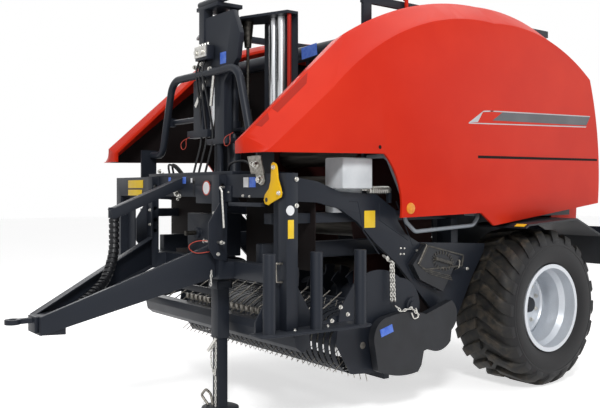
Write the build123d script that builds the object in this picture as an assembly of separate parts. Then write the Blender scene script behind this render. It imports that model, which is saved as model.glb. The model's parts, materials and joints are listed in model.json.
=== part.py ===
from build123d import *
from math import atan2, cos, degrees, hypot, pi, radians, sin
import os

# A towed round baler with a film wrapper on top of its bale chamber.
# Millimetres. While it is modelled, X points forward to the drawbar with zero
# at the axle, Y to the machine's left, and Z up from the ground.
# Every piece is then moved back, so that the origin lies under the middle.
ORIGIN_X = 1430

# running fits and gaps
PIN_CLEARANCE = 0.06
SEAT_GAP = 0.3
MOVING_GAP = 6

# wheels
TYRE_D = 1300
TYRE_W = 600
WHEEL_Y = 1128
RIM_SEAT_R = 342
RIM_FLANGE_R = 363
RIM_W = 540
RIM_WALL = 12
RIM_WELL = 24
TREAD_T = 62
TYRE_FACETS = 40
LUG_COUNT = 20
LUG_H = 34
LUG_GAP = 92
LUG_SLANT = 32
SIDEWALL_T = 28
BEAD_W = 40
HUB_R = 110
SPINDLE_R = 45
AXLE_Z = TYRE_D / 2

# axle and main rails
AXLE_BEAM = 130
RAIL_Y = 700
RAIL_W = 80
RAIL_Z = 800
RAIL_H = 120
RAIL_REAR_X = -650
RAIL_FRONT_X = 1150

# bale chamber
CHAMBER_X = 620
CHAMBER_Z = 1550
CHAMBER_HALF = 620
CHAMBER_WALL = 15
ROLLER_CIRCLE_R = 735
ROLLER_R = 100
SPLIT_GAP = 24

# tailgate
GATE_PIVOT_X = 760
GATE_PIVOT_Z = 2480
GATE_PIN_R = 35
HOOD_HALF = 905
HOOD_WALL = 20

# frame that carries the covers
BEAM_Y = 912
BEAM_W = 30
BEAM_Z = 3040
BEAM_H = 60
SIDE_BEAM_W = 88
SIDE_BEAM_Z = 1400
SIDE_BEAM_H = 70
SIDE_PLATE_Y = 1060
SIDE_PLATE_T = 30

# side covers
COVER_INNER_Y = 952
COVER_FOLD_Y = 1060
COVER_SIDE_Y = 1250
COVER_WALL = 20
COVER_DROP = 200
COVER_HINGE_Y = 945
COVER_HINGE_Z = 3120
COVER_HINGE_X = (-150, 1250)
HINGE_PIN_R = 8
KNUCKLE_R = 14

# front frame
POST_X = 2620
POST_Y = 1250
POST_W = 90
POST_Z0 = 730
POST_TOP = 1740
UPPER_BEAM_H = 160
LOWER_BEAM_X = 2550
LOWER_BEAM_W = 100
LOWER_BEAM_Z = 1000
LOWER_BEAM_H = 120
HOLE_RAIL_Y = 520
HOLE_RAIL_W = 100
HOLE_RAIL_T = 60
HOLE_RAIL_PITCH = 90
HOLE_RAIL_R = 18
BRACE_T = 12

# drawbar
EYE_X = 3980
EYE_Z = 752
EYE_HOLE_R = 25
EYE_R = 52
EYE_T = 34
NOSE_X = 3830
NOSE_Y = 110
NOSE_Z0 = 655
NOSE_Z1 = 780
NOSE_L = 160
TAIL_Z0 = 1010
TAIL_Z1 = 1255
WEB_T = 12
FLANGE_W = 62

# jack
JACK_Y = 300
JACK_TUBE = 100
JACK_WALL = 9
JACK_LEG = JACK_TUBE - 2 * JACK_WALL - 0.16
JACK_TUBE_Z = 530
JACK_OVERLAP = 110
JACK_FOOT_R = 140
JACK_FOOT_T = 15

# gearbox and shaft
GEARBOX_L = 270
GEARBOX_W = 360
GEARBOX_H = 330
SHAFT_Z = 1300
SHAFT_R = 17.5
SHAFT_L = 90

# pick-up
ROTOR_X = 1380
ROTOR_Z = 760
ROTOR_R = 240
ROTOR_STUB_R = 30
REEL_X = 1870
REEL_Z = 520
REEL_R = 290
REEL_TUBE_R = 60
REEL_STUB_R = 25
BAND_R = 215
BAND_T = 4
BAND_PITCH = 70
BAND_W = 50
BAND_COUNT = 31
TINE_R = 3
TINE_ROWS = 5
LOW_RAIL_X = 1600
TOP_RAIL_X = 1640
TAIL_RISE = 47
PICKUP_HALF = 1120
PICKUP_PLATE_T = 12
PIVOT_R = 40
SHIELD_T = 60
GUARD_PIVOT_X = 2000
GUARD_PIVOT_Z = 740
GUARD_HALF = 1112
ARM_SEAT_Z = 656

# film units
UNIT_POST_X = 2300
UNIT_POST_Y = 100
UNIT_POST_R = 35
UNIT_TOP_Z = 2940
UNIT_BOTTOM_Z = 2090
UNIT_PLATE_T = 20
STRETCH_X = 2150
STRETCH_Y = (430, 530)
STRETCH_R = 38
STUB_R = 12
STUB_L = 15
BAR_Y = 640
BAR_R = 16
MANDREL_X = 2250
MANDREL_Y = 220
DECK_T = 25
DECK_HALF = 650

# film rack, left side only
SPINDLE_POINTS = ((2803, 1300), (2450, 1330), (2097, 1360))
SPINDLE_OUT_R = 41.5
SPINDLE_LENGTH = 500
RACK_T = 13


def box(x0, x1, y0, y1, z0, z1):
    """A box between two corners."""
    return Pos((x0 + x1) / 2, (y0 + y1) / 2, (z0 + z1) / 2) * Box(x1 - x0, y1 - y0, z1 - z0)


def rod_x(y, z, r, x0, x1):
    return Pos((x0 + x1) / 2, y, z) * Rot(0, 90, 0) * Cylinder(r, x1 - x0)


def rod_y(x, z, r, y0, y1):
    return Pos(x, (y0 + y1) / 2, z) * Rot(90, 0, 0) * Cylinder(r, y1 - y0)


def rod_z(x, y, r, z0, z1):
    return Pos(x, y, (z0 + z1) / 2) * Cylinder(r, z1 - z0)


def side_prism(points, y0, y1):
    """A side outline, as X and Z, given a width from y0 to y1."""
    wire = Polyline(*[(x, y0, z) for x, z in points], close=True)
    return extrude(make_face(wire), amount=y1 - y0, dir=(0, 1, 0))


def top_prism(points, z0, z1):
    """A plan outline, as X and Y, given a height from z0 to z1."""
    wire = Polyline(*[(x, y, z0) for x, y in points], close=True)
    return extrude(make_face(wire), amount=z1 - z0, dir=(0, 0, 1))


def outline(points, runs, y):
    """A face across Y from X and Z points: a run is l for a line, or a for an arc through one more point."""
    places = [(x, y, z) for x, z in points]
    places.append(places[0])
    edges = []
    i = 0
    for run in runs:
        if run == "l":
            edges.append(Line(places[i], places[i + 1]))
            i += 1
        else:
            edges.append(ThreePointArc(places[i], places[i + 1], places[i + 2]))
            i += 2
    return make_face(edges)


def other_side(shape):
    return mirror(shape, about=Plane.XZ)


def both(shape):
    return shape + other_side(shape)


def straight_rod(start, end, r):
    """A round rod between two points."""
    a = Vector(*start)
    b = Vector(*end)
    plane = Plane(origin=a, z_dir=b - a)
    return plane * Pos(0, 0, (b - a).length / 2) * Cylinder(r, (b - a).length)


def pipe(points, radii, r):
    """A bent pipe along straight runs joined by arcs."""
    path = FilletPolyline(*points, radius=radii)
    return sweep(path=path, sections=Plane(origin=path @ 0, z_dir=path % 0) * Circle(r))


def mirrored(profile):
    """The other half of a half profile, listed in the opposite order."""
    return tuple((-y, z) for y, z in profile[::-1])


def save(name, shape):
    export_step(Pos(-ORIGIN_X, 0, 0) * shape, f"parts/{name}.step")


os.makedirs("parts", exist_ok=True)


# Wheels: a wide tyre on a dished rim with a hub
def facet_ring(profile):
    """A ring of flat facets about the Y axis, through rows of Y and the radius to a facet's middle."""
    corner = 1 / cos(pi / TYRE_FACETS)
    turns = [2 * pi * (k + 0.5) / TYRE_FACETS for k in range(TYRE_FACETS)]
    rows = [[(r * corner * sin(t), y, r * corner * cos(t)) for t in turns] for y, r in profile]
    faces = [make_face(Polyline(*rows[i], close=True)) for i in (0, -1)]
    for low, high in zip(rows, rows[1:]):
        for k in range(TYRE_FACETS):
            faces.append(make_face(Polyline(low[k - 1], low[k], high[k], high[k - 1], close=True)))
    return Solid(Shell(faces))


def groove(turn, side):
    """The gap between two lugs, slanted across one half of the tread."""
    length = TYRE_W / 2 + 40
    cut = Pos(0, side * (length / 2 + 12), TYRE_D / 2) * Rot(0, 0, -side * LUG_SLANT) * Box(LUG_GAP, length, 2 * LUG_H)
    return Rot(0, turn, 0) * cut


def tyre():
    r = TYRE_D / 2
    half = TYRE_W / 2
    seat = RIM_W / 2 - RIM_WALL - SEAT_GAP
    bead = RIM_FLANGE_R + 5
    outside = ((seat, bead), (half * 0.97, bead + 45), (half, r * 0.78), (half * 0.86, r))
    inside = ((half - TREAD_T, r - TREAD_T), (half - SIDEWALL_T, r * 0.78), (seat - BEAD_W, bead))
    ring = facet_ring(outside + mirrored(outside))
    ring -= facet_ring(mirrored(inside) + inside)
    ring -= facet_ring(((-seat - 1, RIM_SEAT_R), (seat + 1, RIM_SEAT_R)))
    step = 360 / LUG_COUNT
    for k in range(LUG_COUNT):
        ring -= groove(k * step, 1)
        ring -= groove((k + 0.5) * step, -1)
    return Pos(0, WHEEL_Y, AXLE_Z) * ring


def rim():
    half = RIM_W / 2
    seat = RIM_SEAT_R - SEAT_GAP
    lip = seat - RIM_WALL
    well = lip - RIM_WELL
    profile = (
        (-half, RIM_FLANGE_R), (RIM_WALL - half, RIM_FLANGE_R), (RIM_WALL - half, seat), (-178, seat),
        (-132, well + RIM_WALL), (132, well + RIM_WALL), (178, seat), (half - RIM_WALL, seat),
        (half - RIM_WALL, RIM_FLANGE_R), (half, RIM_FLANGE_R), (half, lip), (175, lip), (130, well),
        (-40, well), (-32, 262), (0, 256), (3, 246), (-12, 234), (-12, HUB_R), (28, HUB_R - 15), (28, 0),
        (-20, 0), (-20, SPINDLE_R + PIN_CLEARANCE), (-130, SPINDLE_R + PIN_CLEARANCE), (-130, HUB_R - 25),
        (-28, HUB_R - 25), (-28, 240), (-50, 270), (-54, well), (-130, well), (-175, lip), (-half, lip))
    face = make_face(Polyline(*[(0, y, z) for y, z in profile], close=True))
    return Pos(0, WHEEL_Y, AXLE_Z) * revolve(face, axis=Axis.Y)


save("tyre_left", tyre())
save("tyre_right", other_side(tyre()))
save("rim_left", rim())
save("rim_right", other_side(rim()))


# Axle with its hangers and spindles
def axle():
    beam = box(-AXLE_BEAM / 2, AXLE_BEAM / 2, 0, RAIL_Y + RAIL_W, AXLE_Z - AXLE_BEAM / 2, AXLE_Z + AXLE_BEAM / 2)
    hanger = box(-110, 110, RAIL_Y, RAIL_Y + RAIL_W, AXLE_Z + AXLE_BEAM / 2, RAIL_Z)
    stub = rod_y(0, AXLE_Z, 62, RAIL_Y + RAIL_W, WHEEL_Y - 145)
    spindle = rod_y(0, AXLE_Z, SPINDLE_R, WHEEL_Y - 145, WHEEL_Y - 25)
    return both(beam + hanger + stub + spindle)


save("axle", axle())


# Main frame: two rails with cross tubes
def main_frame():
    rail = box(RAIL_REAR_X, RAIL_FRONT_X, RAIL_Y, RAIL_Y + RAIL_W, RAIL_Z, RAIL_Z + RAIL_H)
    upright = box(RAIL_FRONT_X - 100, RAIL_FRONT_X, RAIL_Y, RAIL_Y + RAIL_W, RAIL_Z + RAIL_H, 1250)
    upper = box(RAIL_FRONT_X - 100, LOWER_BEAM_X - LOWER_BEAM_W / 2, RAIL_Y, RAIL_Y + RAIL_W, 1130, 1250)
    foot = box(LOWER_BEAM_X - LOWER_BEAM_W / 2 - 120, LOWER_BEAM_X - LOWER_BEAM_W / 2,
               RAIL_Y, RAIL_Y + RAIL_W, LOWER_BEAM_Z, 1130)
    rear_cross = box(RAIL_REAR_X, RAIL_REAR_X + 80, 0, RAIL_Y, RAIL_Z, RAIL_Z + RAIL_H)
    outrigger = box(780, 860, RAIL_Y + RAIL_W, BEAM_Y, RAIL_Z, RAIL_Z + RAIL_H)
    return both(rail + upright + upper + foot + rear_cross + outrigger)


save("main_frame", main_frame())


# Fixed front half of the bale chamber
FRONT_OUTLINE = ((632, 690), (1050, 690), (1300, 640), (1460, 640), (1520, 800), (1500, 1150), (1560, 1500), (1450, 2050),
                 (1150, 2350), (860, 2560), (660, 2560), (632, 2510))
FRONT_ROLLER_ANGLES = (80, 56, 32, 8, -16)
LOWER_ROLLER_ANGLES = (-82, -60)
GATE_ROLLER_ANGLES = (100, 124, 148, 172, 196, 220, 244, 262)


def chamber_plates():
    plate = side_prism(FRONT_OUTLINE, CHAMBER_HALF, CHAMBER_HALF + CHAMBER_WALL)
    rib = box(700, 1040, CHAMBER_HALF + CHAMBER_WALL, RAIL_Y, RAIL_Z, RAIL_Z + RAIL_H)
    upper_rib = box(1200, 1440, CHAMBER_HALF + CHAMBER_WALL, RAIL_Y, 1150, 1230)
    pin = rod_y(GATE_PIVOT_X, GATE_PIVOT_Z, GATE_PIN_R, CHAMBER_HALF + CHAMBER_WALL, CHAMBER_HALF + 62)
    plate -= rod_y(ROTOR_X, ROTOR_Z, ROTOR_STUB_R + MOVING_GAP, 0, 1000)
    return both(plate + rib + upper_rib + pin)


def roller_at(angle):
    x = CHAMBER_X + ROLLER_CIRCLE_R * cos(radians(angle))
    z = CHAMBER_Z + ROLLER_CIRCLE_R * sin(radians(angle))
    half = CHAMBER_HALF - SEAT_GAP
    return rod_y(x, z, ROLLER_R, -half, half)


save("chamber_plates", chamber_plates())
save("front_rollers", Compound(children=[roller_at(a) for a in FRONT_ROLLER_ANGLES + LOWER_ROLLER_ANGLES]))


# Tailgate: rear half of the chamber under a red hood
# three arcs of three points each, then a straight run down, as X and Z
HOOD_LINE = ((880, 3020), (500, 3060), (0, 3030), (-420, 2900), (-820, 2700), (-1060, 2400),
             (-1150, 1940), (-1090, 1120))
HOOD_RUNS = "aaal"
GATE_LOW_FRONT = (608, 690)
GATE_LOW_REAR = (-250, 960)


def hood_inner():
    """The hood line moved in by the hood's wall, square to the line."""
    inner = []
    for i, (x, z) in enumerate(HOOD_LINE):
        x0, z0 = HOOD_LINE[max(i - 1, 0)]
        x1, z1 = HOOD_LINE[min(i + 1, len(HOOD_LINE) - 1)]
        length = hypot(x1 - x0, z1 - z0)
        inner.append((x + (z0 - z1) / length * HOOD_WALL, z + (x1 - x0) / length * HOOD_WALL))
    return inner


def rear_hood():
    inner = hood_inner()
    skin = outline(list(HOOD_LINE) + inner[::-1], HOOD_RUNS + "l" + HOOD_RUNS[::-1] + "l", -HOOD_HALF)
    skin = extrude(skin, amount=2 * HOOD_HALF, dir=(0, 1, 0))
    window = [(-700, 1120), (-700, 2100), (-300, 2600), (400, 2850)]
    side = outline(inner[2:] + window, HOOD_RUNS[1:] + "lllll", HOOD_HALF - HOOD_WALL)
    return skin + both(extrude(side, amount=HOOD_WALL, dir=(0, 1, 0)))


def tailgate():
    line = hood_inner()
    half = CHAMBER_HALF
    wall = CHAMBER_WALL
    plate = side_prism([GATE_LOW_FRONT, (608, 2600), (500, 2860)] + line[2:] + [(-700, 1120), GATE_LOW_REAR],
                       half, half + wall)
    lug_points = ((400, 2380), (400, 2580), (760, 2550), (830, 2480), (760, 2410))
    lug = side_prism(lug_points, half + wall + MOVING_GAP, half + wall + MOVING_GAP + 20)
    lug -= rod_y(GATE_PIVOT_X, GATE_PIVOT_Z, GATE_PIN_R + PIN_CLEARANCE, half, half + 100)
    spacer = box(410, 560, half + wall, half + wall + MOVING_GAP, 2400, 2560)
    return both(plate + lug + spacer)


save("rear_hood", rear_hood())
save("tailgate_frame", tailgate())
save("rear_rollers", Compound(children=[roller_at(a) for a in GATE_ROLLER_ANGLES]))


# Side frames that carry the covers, with the outer plates
OUTER_PLATE = ((2575, 1740), (2250, 1690), (2050, 1620), (1700, 1600), (1500, 1480), (1480, 1400), (1400, 1300),
               (1260, 1230), (480, 1190), (500, 1120), (640, 930), (750, 740), (880, 530), (1000, 560),
               (1123, 715), (1343, 932), (1494, 1086), (1717, 1252), (1880, 1400), (2050, 1500), (2250, 1545),
               (2575, 1560))


def side_frame():
    y1 = BEAM_Y + BEAM_W
    beam = box(-600, 1700, BEAM_Y, y1, BEAM_Z, BEAM_Z + BEAM_H)
    low = box(-850, POST_X - POST_W / 2, BEAM_Y, BEAM_Y + SIDE_BEAM_W, SIDE_BEAM_Z, SIDE_BEAM_Z + SIDE_BEAM_H)
    front_post = box(1610, 1690, BEAM_Y, y1, SIDE_BEAM_Z, BEAM_Z)
    rear_post = box(700, 780, BEAM_Y, y1, SIDE_BEAM_Z, BEAM_Z)
    plate = side_prism(OUTER_PLATE, SIDE_PLATE_Y, SIDE_PLATE_Y + SIDE_PLATE_T)
    leg = box(780, 860, BEAM_Y, BEAM_Y + SIDE_BEAM_W, RAIL_Z, SIDE_BEAM_Z)
    tie = box(780, 860, BEAM_Y + SIDE_BEAM_W, SIDE_PLATE_Y, 1080, SIDE_BEAM_Z)
    front_tie = box(1610, 1690, BEAM_Y + SIDE_BEAM_W, SIDE_PLATE_Y, SIDE_BEAM_Z, SIDE_BEAM_Z + SIDE_BEAM_H)
    frame = beam + low + front_post + rear_post + plate + leg + tie + front_tie
    for x in COVER_HINGE_X:
        frame += box(x - 18, x - 6, BEAM_Y + 18, COVER_HINGE_Y + HINGE_PIN_R, BEAM_Z + BEAM_H, COVER_HINGE_Z + KNUCKLE_R)
        frame += rod_x(COVER_HINGE_Y, COVER_HINGE_Z, HINGE_PIN_R, x - 18, x + 24)
    return frame


SIDE_RAIL_R = 15
SIDE_RAIL_Y = 1150
SIDE_RAIL_ROUTE = ((1650, BEAM_Y + BEAM_W + SEAT_GAP, 1880), (1650, SIDE_RAIL_Y, 1880), (1480, SIDE_RAIL_Y, 1560),
                   (1462, SIDE_RAIL_Y, 1400), (1360, SIDE_RAIL_Y, 1318), (700, SIDE_RAIL_Y, 1348),
                   (620, SIDE_RAIL_Y, 1435), (620, BEAM_Y + SIDE_BEAM_W + SEAT_GAP, 1435))
SIDE_RAIL_BENDS = (50, 60, 60, 60, 60, 50)


def side_rail():
    return pipe(SIDE_RAIL_ROUTE, list(SIDE_RAIL_BENDS), SIDE_RAIL_R)


save("side_frame_left", side_frame())
save("side_rail_left", side_rail())
save("side_rail_right", other_side(side_rail()))
save("side_frame_right", other_side(side_frame()))
save("top_cross_tube", rod_y(1650, 2760, 62, -BEAM_Y, BEAM_Y))


# Side covers: a lofted shell, open inwards and below
# rows: outline at the inner edge, at the fold and on the side face, as X and Z
COVER_RUNS = "llaaalllal"
COVER_ROWS = (
    ((2835, 1872), (2835, 1950), (2010, 2705), (1400, 2965), (560, 3095), (-420, 2945), (-1060, 2570),
     (-1160, 1937), (-1080, 1530), (560, 1345), (714, 1449), (1600, 1430), (1650, 1740), (1765, 1890)),
    ((2844, 1872), (2844, 1985), (1990, 2745), (1400, 3010), (560, 3140), (-420, 2985), (-1065, 2590),
     (-1168, 1937), (-1080, 1530), (560, 1345), (714, 1449), (1600, 1430), (1650, 1740), (1765, 1890)),
    ((2810, 1872), (2760, 1895), (2245, 2318), (1410, 2850), (560, 2970), (-420, 2835), (-794, 2633),
     (-891, 2274), (-924, 1512), (560, 1345), (714, 1449), (1600, 1430), (1650, 1740), (1765, 1890)))


def shrunk(points, wall, floor_drop):
    """An outline moved in by the wall along its top, and down past its lower edge."""
    cx = 900
    cz = 1700
    inner = []
    for i, (x, z) in enumerate(points):
        if i <= 8:
            n = hypot(x - cx, z - cz)
            inner.append((x - (x - cx) / n * wall * 1.6, z - (z - cz) / n * wall * 1.2))
        else:
            inner.append((x, z - floor_drop))
    return inner


def cover():
    ys = (COVER_INNER_Y, COVER_FOLD_Y, COVER_SIDE_Y)
    faces = [outline(points, COVER_RUNS, y) for points, y in zip(COVER_ROWS, ys)]
    outer = loft(faces[:2], ruled=True) + loft(faces[1:], ruled=True)
    inner_ys = (COVER_INNER_Y - 1, COVER_FOLD_Y, COVER_SIDE_Y - COVER_WALL)
    faces = [outline(shrunk(points, COVER_WALL, COVER_DROP), COVER_RUNS, y)
             for points, y in zip(COVER_ROWS, inner_ys)]
    shell = outer - loft(faces[:2], ruled=True) - loft(faces[1:], ruled=True)
    for x in COVER_HINGE_X:
        arm = box(x, x + 20, COVER_INNER_Y - 3, COVER_INNER_Y + 20, 2970, COVER_HINGE_Z)
        arm += rod_x(COVER_HINGE_Y, COVER_HINGE_Z, KNUCKLE_R, x, x + 20)
        shell += arm - rod_x(COVER_HINGE_Y, COVER_HINGE_Z, HINGE_PIN_R + PIN_CLEARANCE, x - 1, x + 21)
    return shell


save("cover_left", cover())
save("cover_right", other_side(cover()))


# Front frame: posts, beams and the hole rails that hold the drawbar
def front_frame():
    half_w = POST_W / 2
    post = box(POST_X - half_w, POST_X + half_w, POST_Y - half_w, POST_Y + half_w, POST_Z0, POST_TOP)
    upper = box(POST_X - half_w, POST_X + half_w, 0, POST_Y - half_w, POST_TOP - UPPER_BEAM_H, POST_TOP)
    x0 = LOWER_BEAM_X - LOWER_BEAM_W / 2
    x1 = LOWER_BEAM_X + LOWER_BEAM_W / 2
    z1 = LOWER_BEAM_Z + LOWER_BEAM_H
    lower = box(x0, x1, 0, POST_Y - half_w, LOWER_BEAM_Z, z1)
    front = POST_X + half_w
    rail = box(front, front + HOLE_RAIL_T, HOLE_RAIL_Y - HOLE_RAIL_W / 2, HOLE_RAIL_Y + HOLE_RAIL_W / 2,
               LOWER_BEAM_Z, POST_TOP)
    for i in range(5):
        rail -= rod_y(front + HOLE_RAIL_T / 2, 1300 + i * HOLE_RAIL_PITCH, HOLE_RAIL_R, 400, 600)
    filler = box(x1, front, HOLE_RAIL_Y - HOLE_RAIL_W / 2, HOLE_RAIL_Y + HOLE_RAIL_W / 2, LOWER_BEAM_Z, z1)
    gusset = box(x1 - 12, x1, 1060, POST_Y - half_w, z1, POST_TOP - UPPER_BEAM_H)
    inner_y = POST_Y - half_w
    brace = side_prism(((front, POST_Z0), (front, 1040), (front + 30, 1040), (2850, 800), (2850, POST_Z0)),
                       inner_y, inner_y + BRACE_T)
    brace += side_prism(((POST_X - half_w, POST_Z0), (POST_X - half_w, 1040), (2545, 1040), (2400, 800),
                         (2400, POST_Z0)), inner_y, inner_y + BRACE_T)
    cheek = side_prism(((front, 1130), (front, 1540), (front + 60, 1540), (front + 150, 1400), (front + 150, 1220),
                        (front + 100, 1150)), HOLE_RAIL_Y + HOLE_RAIL_W / 2, HOLE_RAIL_Y + HOLE_RAIL_W / 2 + BRACE_T)
    return both(post + upper + lower + rail + filler + gusset + brace + cheek)


save("front_frame", front_frame())


# Drawbar: two tapered channels that meet at the eye
def drawbar():
    rear_x = POST_X + POST_W / 2 + HOLE_RAIL_T
    angle = degrees(atan2(HOLE_RAIL_Y - NOSE_Y, NOSE_X - rear_x))
    length = hypot(HOLE_RAIL_Y - NOSE_Y, NOSE_X - rear_x)
    web_points = ((0, TAIL_Z0), (0, TAIL_Z1), (length, NOSE_Z1), (length, NOSE_Z0))
    top_points = ((0, TAIL_Z1 - WEB_T), (0, TAIL_Z1), (length, NOSE_Z1), (length, NOSE_Z1 - WEB_T))
    low_points = ((0, TAIL_Z0), (0, TAIL_Z0 + WEB_T), (length, NOSE_Z0 + WEB_T), (length, NOSE_Z0))
    side = side_prism(web_points, -WEB_T, 0)
    side += side_prism(top_points, -FLANGE_W, 0) + side_prism(low_points, -FLANGE_W, 0)
    side = Pos(rear_x, HOLE_RAIL_Y, 0) * Rot(0, 0, -angle) * side
    side -= box(rear_x - 100, rear_x, 0, 800, 900, 1400)
    nose = top_prism(((NOSE_X - NOSE_L, 0), (NOSE_X - NOSE_L, NOSE_Y + 38), (NOSE_X, NOSE_Y - 20), (NOSE_X, 0)),
                     NOSE_Z0, NOSE_Z1)
    return both(side + nose)


def tow_eye():
    ring = rod_z(EYE_X, 0, EYE_R, EYE_Z - EYE_T / 2, EYE_Z + EYE_T / 2)
    shank = box(NOSE_X + 25, EYE_X, -24, 24, EYE_Z - EYE_T / 2, EYE_Z + EYE_T / 2)
    flange = box(NOSE_X, NOSE_X + 25, -70, 70, NOSE_Z0 + 15, NOSE_Z1)
    return ring + shank + flange - rod_z(EYE_X, 0, EYE_HOLE_R, EYE_Z - 50, EYE_Z + 50)


save("drawbar", drawbar())
save("tow_eye", tow_eye())


# Jack: a square tube under the lower beam with a sliding leg
def jack_tube():
    half = JACK_TUBE / 2
    inner = half - JACK_WALL
    tube = box(LOWER_BEAM_X - half, LOWER_BEAM_X + half, JACK_Y - half, JACK_Y + half, JACK_TUBE_Z, LOWER_BEAM_Z)
    return tube - box(LOWER_BEAM_X - inner, LOWER_BEAM_X + inner, JACK_Y - inner, JACK_Y + inner,
                      JACK_TUBE_Z - 1, LOWER_BEAM_Z - 10)


def jack_leg():
    half = JACK_LEG / 2
    leg = box(LOWER_BEAM_X - half, LOWER_BEAM_X + half, JACK_Y - half, JACK_Y + half,
              JACK_FOOT_T, JACK_TUBE_Z + JACK_OVERLAP)
    return leg + rod_z(LOWER_BEAM_X, JACK_Y, JACK_FOOT_R, 0, JACK_FOOT_T)


save("jack_tube", jack_tube())
save("jack_leg", jack_leg())


# Main gearbox and its input shaft
def gearbox():
    x1 = LOWER_BEAM_X + 10
    z0 = LOWER_BEAM_Z + LOWER_BEAM_H
    case = box(x1 - GEARBOX_L, x1, -GEARBOX_W / 2, GEARBOX_W / 2, z0, z0 + GEARBOX_H)
    return case + rod_x(0, SHAFT_Z, SHAFT_R * 2.4, x1, x1 + 30)


save("gearbox", gearbox())
save("input_shaft", rod_x(0, SHAFT_Z, SHAFT_R, LOWER_BEAM_X + 40, LOWER_BEAM_X + 40 + SHAFT_L))


# Hose arm and its hose
ARM_ROOT = (POST_X + POST_W / 2, -116, 1690)
ARM_END = (3150, -250, 1465)
HOSE_R = 40
HOSE_ROUTE = ((3150, -250, 1420), (3150, -250, 1150), (3230, -215, 960), (3400, -130, 850), (3590, -50, 765),
              (NOSE_X - NOSE_L - SEAT_GAP, -50, 765))
HOSE_BENDS = (420, 290, 800, 250)


def hose_arm():
    arm_box = straight_rod(ARM_ROOT, ARM_END, 38)
    arm_box -= box(2500, ARM_ROOT[0], -400, 400, 1500, 1900)
    arm_box += rod_z(ARM_END[0], ARM_END[1], HOSE_R + 10, HOSE_ROUTE[0][2] + SEAT_GAP, ARM_END[2])
    return arm_box


save("hose_arm", hose_arm())
save("hose", pipe(HOSE_ROUTE, list(HOSE_BENDS), HOSE_R))


# Pick-up: end plates, bands and a tube behind them
def band(y):
    ring = rod_y(REEL_X, REEL_Z, BAND_R, y - BAND_W / 2, y + BAND_W / 2)
    ring -= rod_y(REEL_X, REEL_Z, BAND_R - BAND_T, y - BAND_W, y + BAND_W)
    ring -= box(REEL_X - BAND_R - 1, REEL_X, y - BAND_W, y + BAND_W, REEL_Z - BAND_R - 1, REEL_Z + BAND_R + 1)
    top_z = REEL_Z + BAND_R
    tail = side_prism(((REEL_X, top_z - BAND_T), (REEL_X, top_z), (TOP_RAIL_X, top_z + TAIL_RISE),
                       (TOP_RAIL_X, top_z + TAIL_RISE - BAND_T)), y - BAND_W / 2, y + BAND_W / 2)
    foot = box(LOW_RAIL_X, REEL_X, y - BAND_W / 2, y + BAND_W / 2, REEL_Z - BAND_R, REEL_Z - BAND_R + BAND_T)
    return ring + tail + foot


# an arc over the top, then lines, as X and Z
PICKUP_OUTLINE = ((1300, 690), (1330, 880), (1500, 980), (1740, 1050), (1960, 960), (2080, 800), (2120, 560), (1980, 330),
                  (1700, 300), (1500, 420))
PICKUP_RUNS = "aallllll"


def pickup_frame():
    plate = extrude(outline(PICKUP_OUTLINE, PICKUP_RUNS, PICKUP_HALF), amount=PICKUP_PLATE_T, dir=(0, 1, 0))
    plate += rod_y(ROTOR_X, ROTOR_Z, PIVOT_R + 25, PICKUP_HALF, PICKUP_HALF + 30)
    plate -= rod_y(ROTOR_X, ROTOR_Z, PIVOT_R + PIN_CLEARANCE, PICKUP_HALF - 1, PICKUP_HALF + 31)
    plate -= rod_y(REEL_X, REEL_Z, REEL_STUB_R + PIN_CLEARANCE, PICKUP_HALF - 1, PICKUP_HALF + 31)
    tube_z = REEL_Z - BAND_R + BAND_T
    rail = box(LOW_RAIL_X, LOW_RAIL_X + 50, -PICKUP_HALF, PICKUP_HALF, tube_z - 64, tube_z - BAND_T / 2)
    top_z = REEL_Z + BAND_R + TAIL_RISE
    top_rail = box(TOP_RAIL_X, TOP_RAIL_X + 40, -PICKUP_HALF, PICKUP_HALF, top_z - 17, top_z + 8)
    frame = both(plate) + rail + top_rail
    for i in range(BAND_COUNT):
        frame += band((i - (BAND_COUNT - 1) / 2) * BAND_PITCH)
    return frame


def reel():
    shaft = rod_y(REEL_X, REEL_Z, REEL_TUBE_R, -PICKUP_HALF + MOVING_GAP, PICKUP_HALF - MOVING_GAP)
    end = PICKUP_HALF + PICKUP_PLATE_T
    shaft += rod_y(REEL_X, REEL_Z, REEL_STUB_R, -end, end)
    for i in range(BAND_COUNT + 1):
        y = (i - BAND_COUNT / 2) * BAND_PITCH
        for row in range(TINE_ROWS):
            a = radians(row * 360 / TINE_ROWS - 35)
            tip = (REEL_X + REEL_R * cos(a), y, REEL_Z + REEL_R * sin(a))
            root = (REEL_X + 40 * cos(a), y, REEL_Z + 40 * sin(a))
            shaft += straight_rod(root, tip, TINE_R)
    return shaft


def rotor():
    half = CHAMBER_HALF - MOVING_GAP
    drum = rod_y(ROTOR_X, ROTOR_Z, 110, -half, half)
    stub = CHAMBER_HALF + CHAMBER_WALL + 9
    drum += rod_y(ROTOR_X, ROTOR_Z, ROTOR_STUB_R, -stub, stub)
    for i in range(9):
        y = (i - 4) * 140
        star = rod_y(ROTOR_X, ROTOR_Z, ROTOR_R, y - 8, y + 8)
        for k in range(5):
            a = radians(k * 72 + i * 12)
            star -= rod_y(ROTOR_X + 235 * cos(a), ROTOR_Z + 235 * sin(a), 95, y - 10, y + 10)
        drum += star
    return drum


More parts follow.
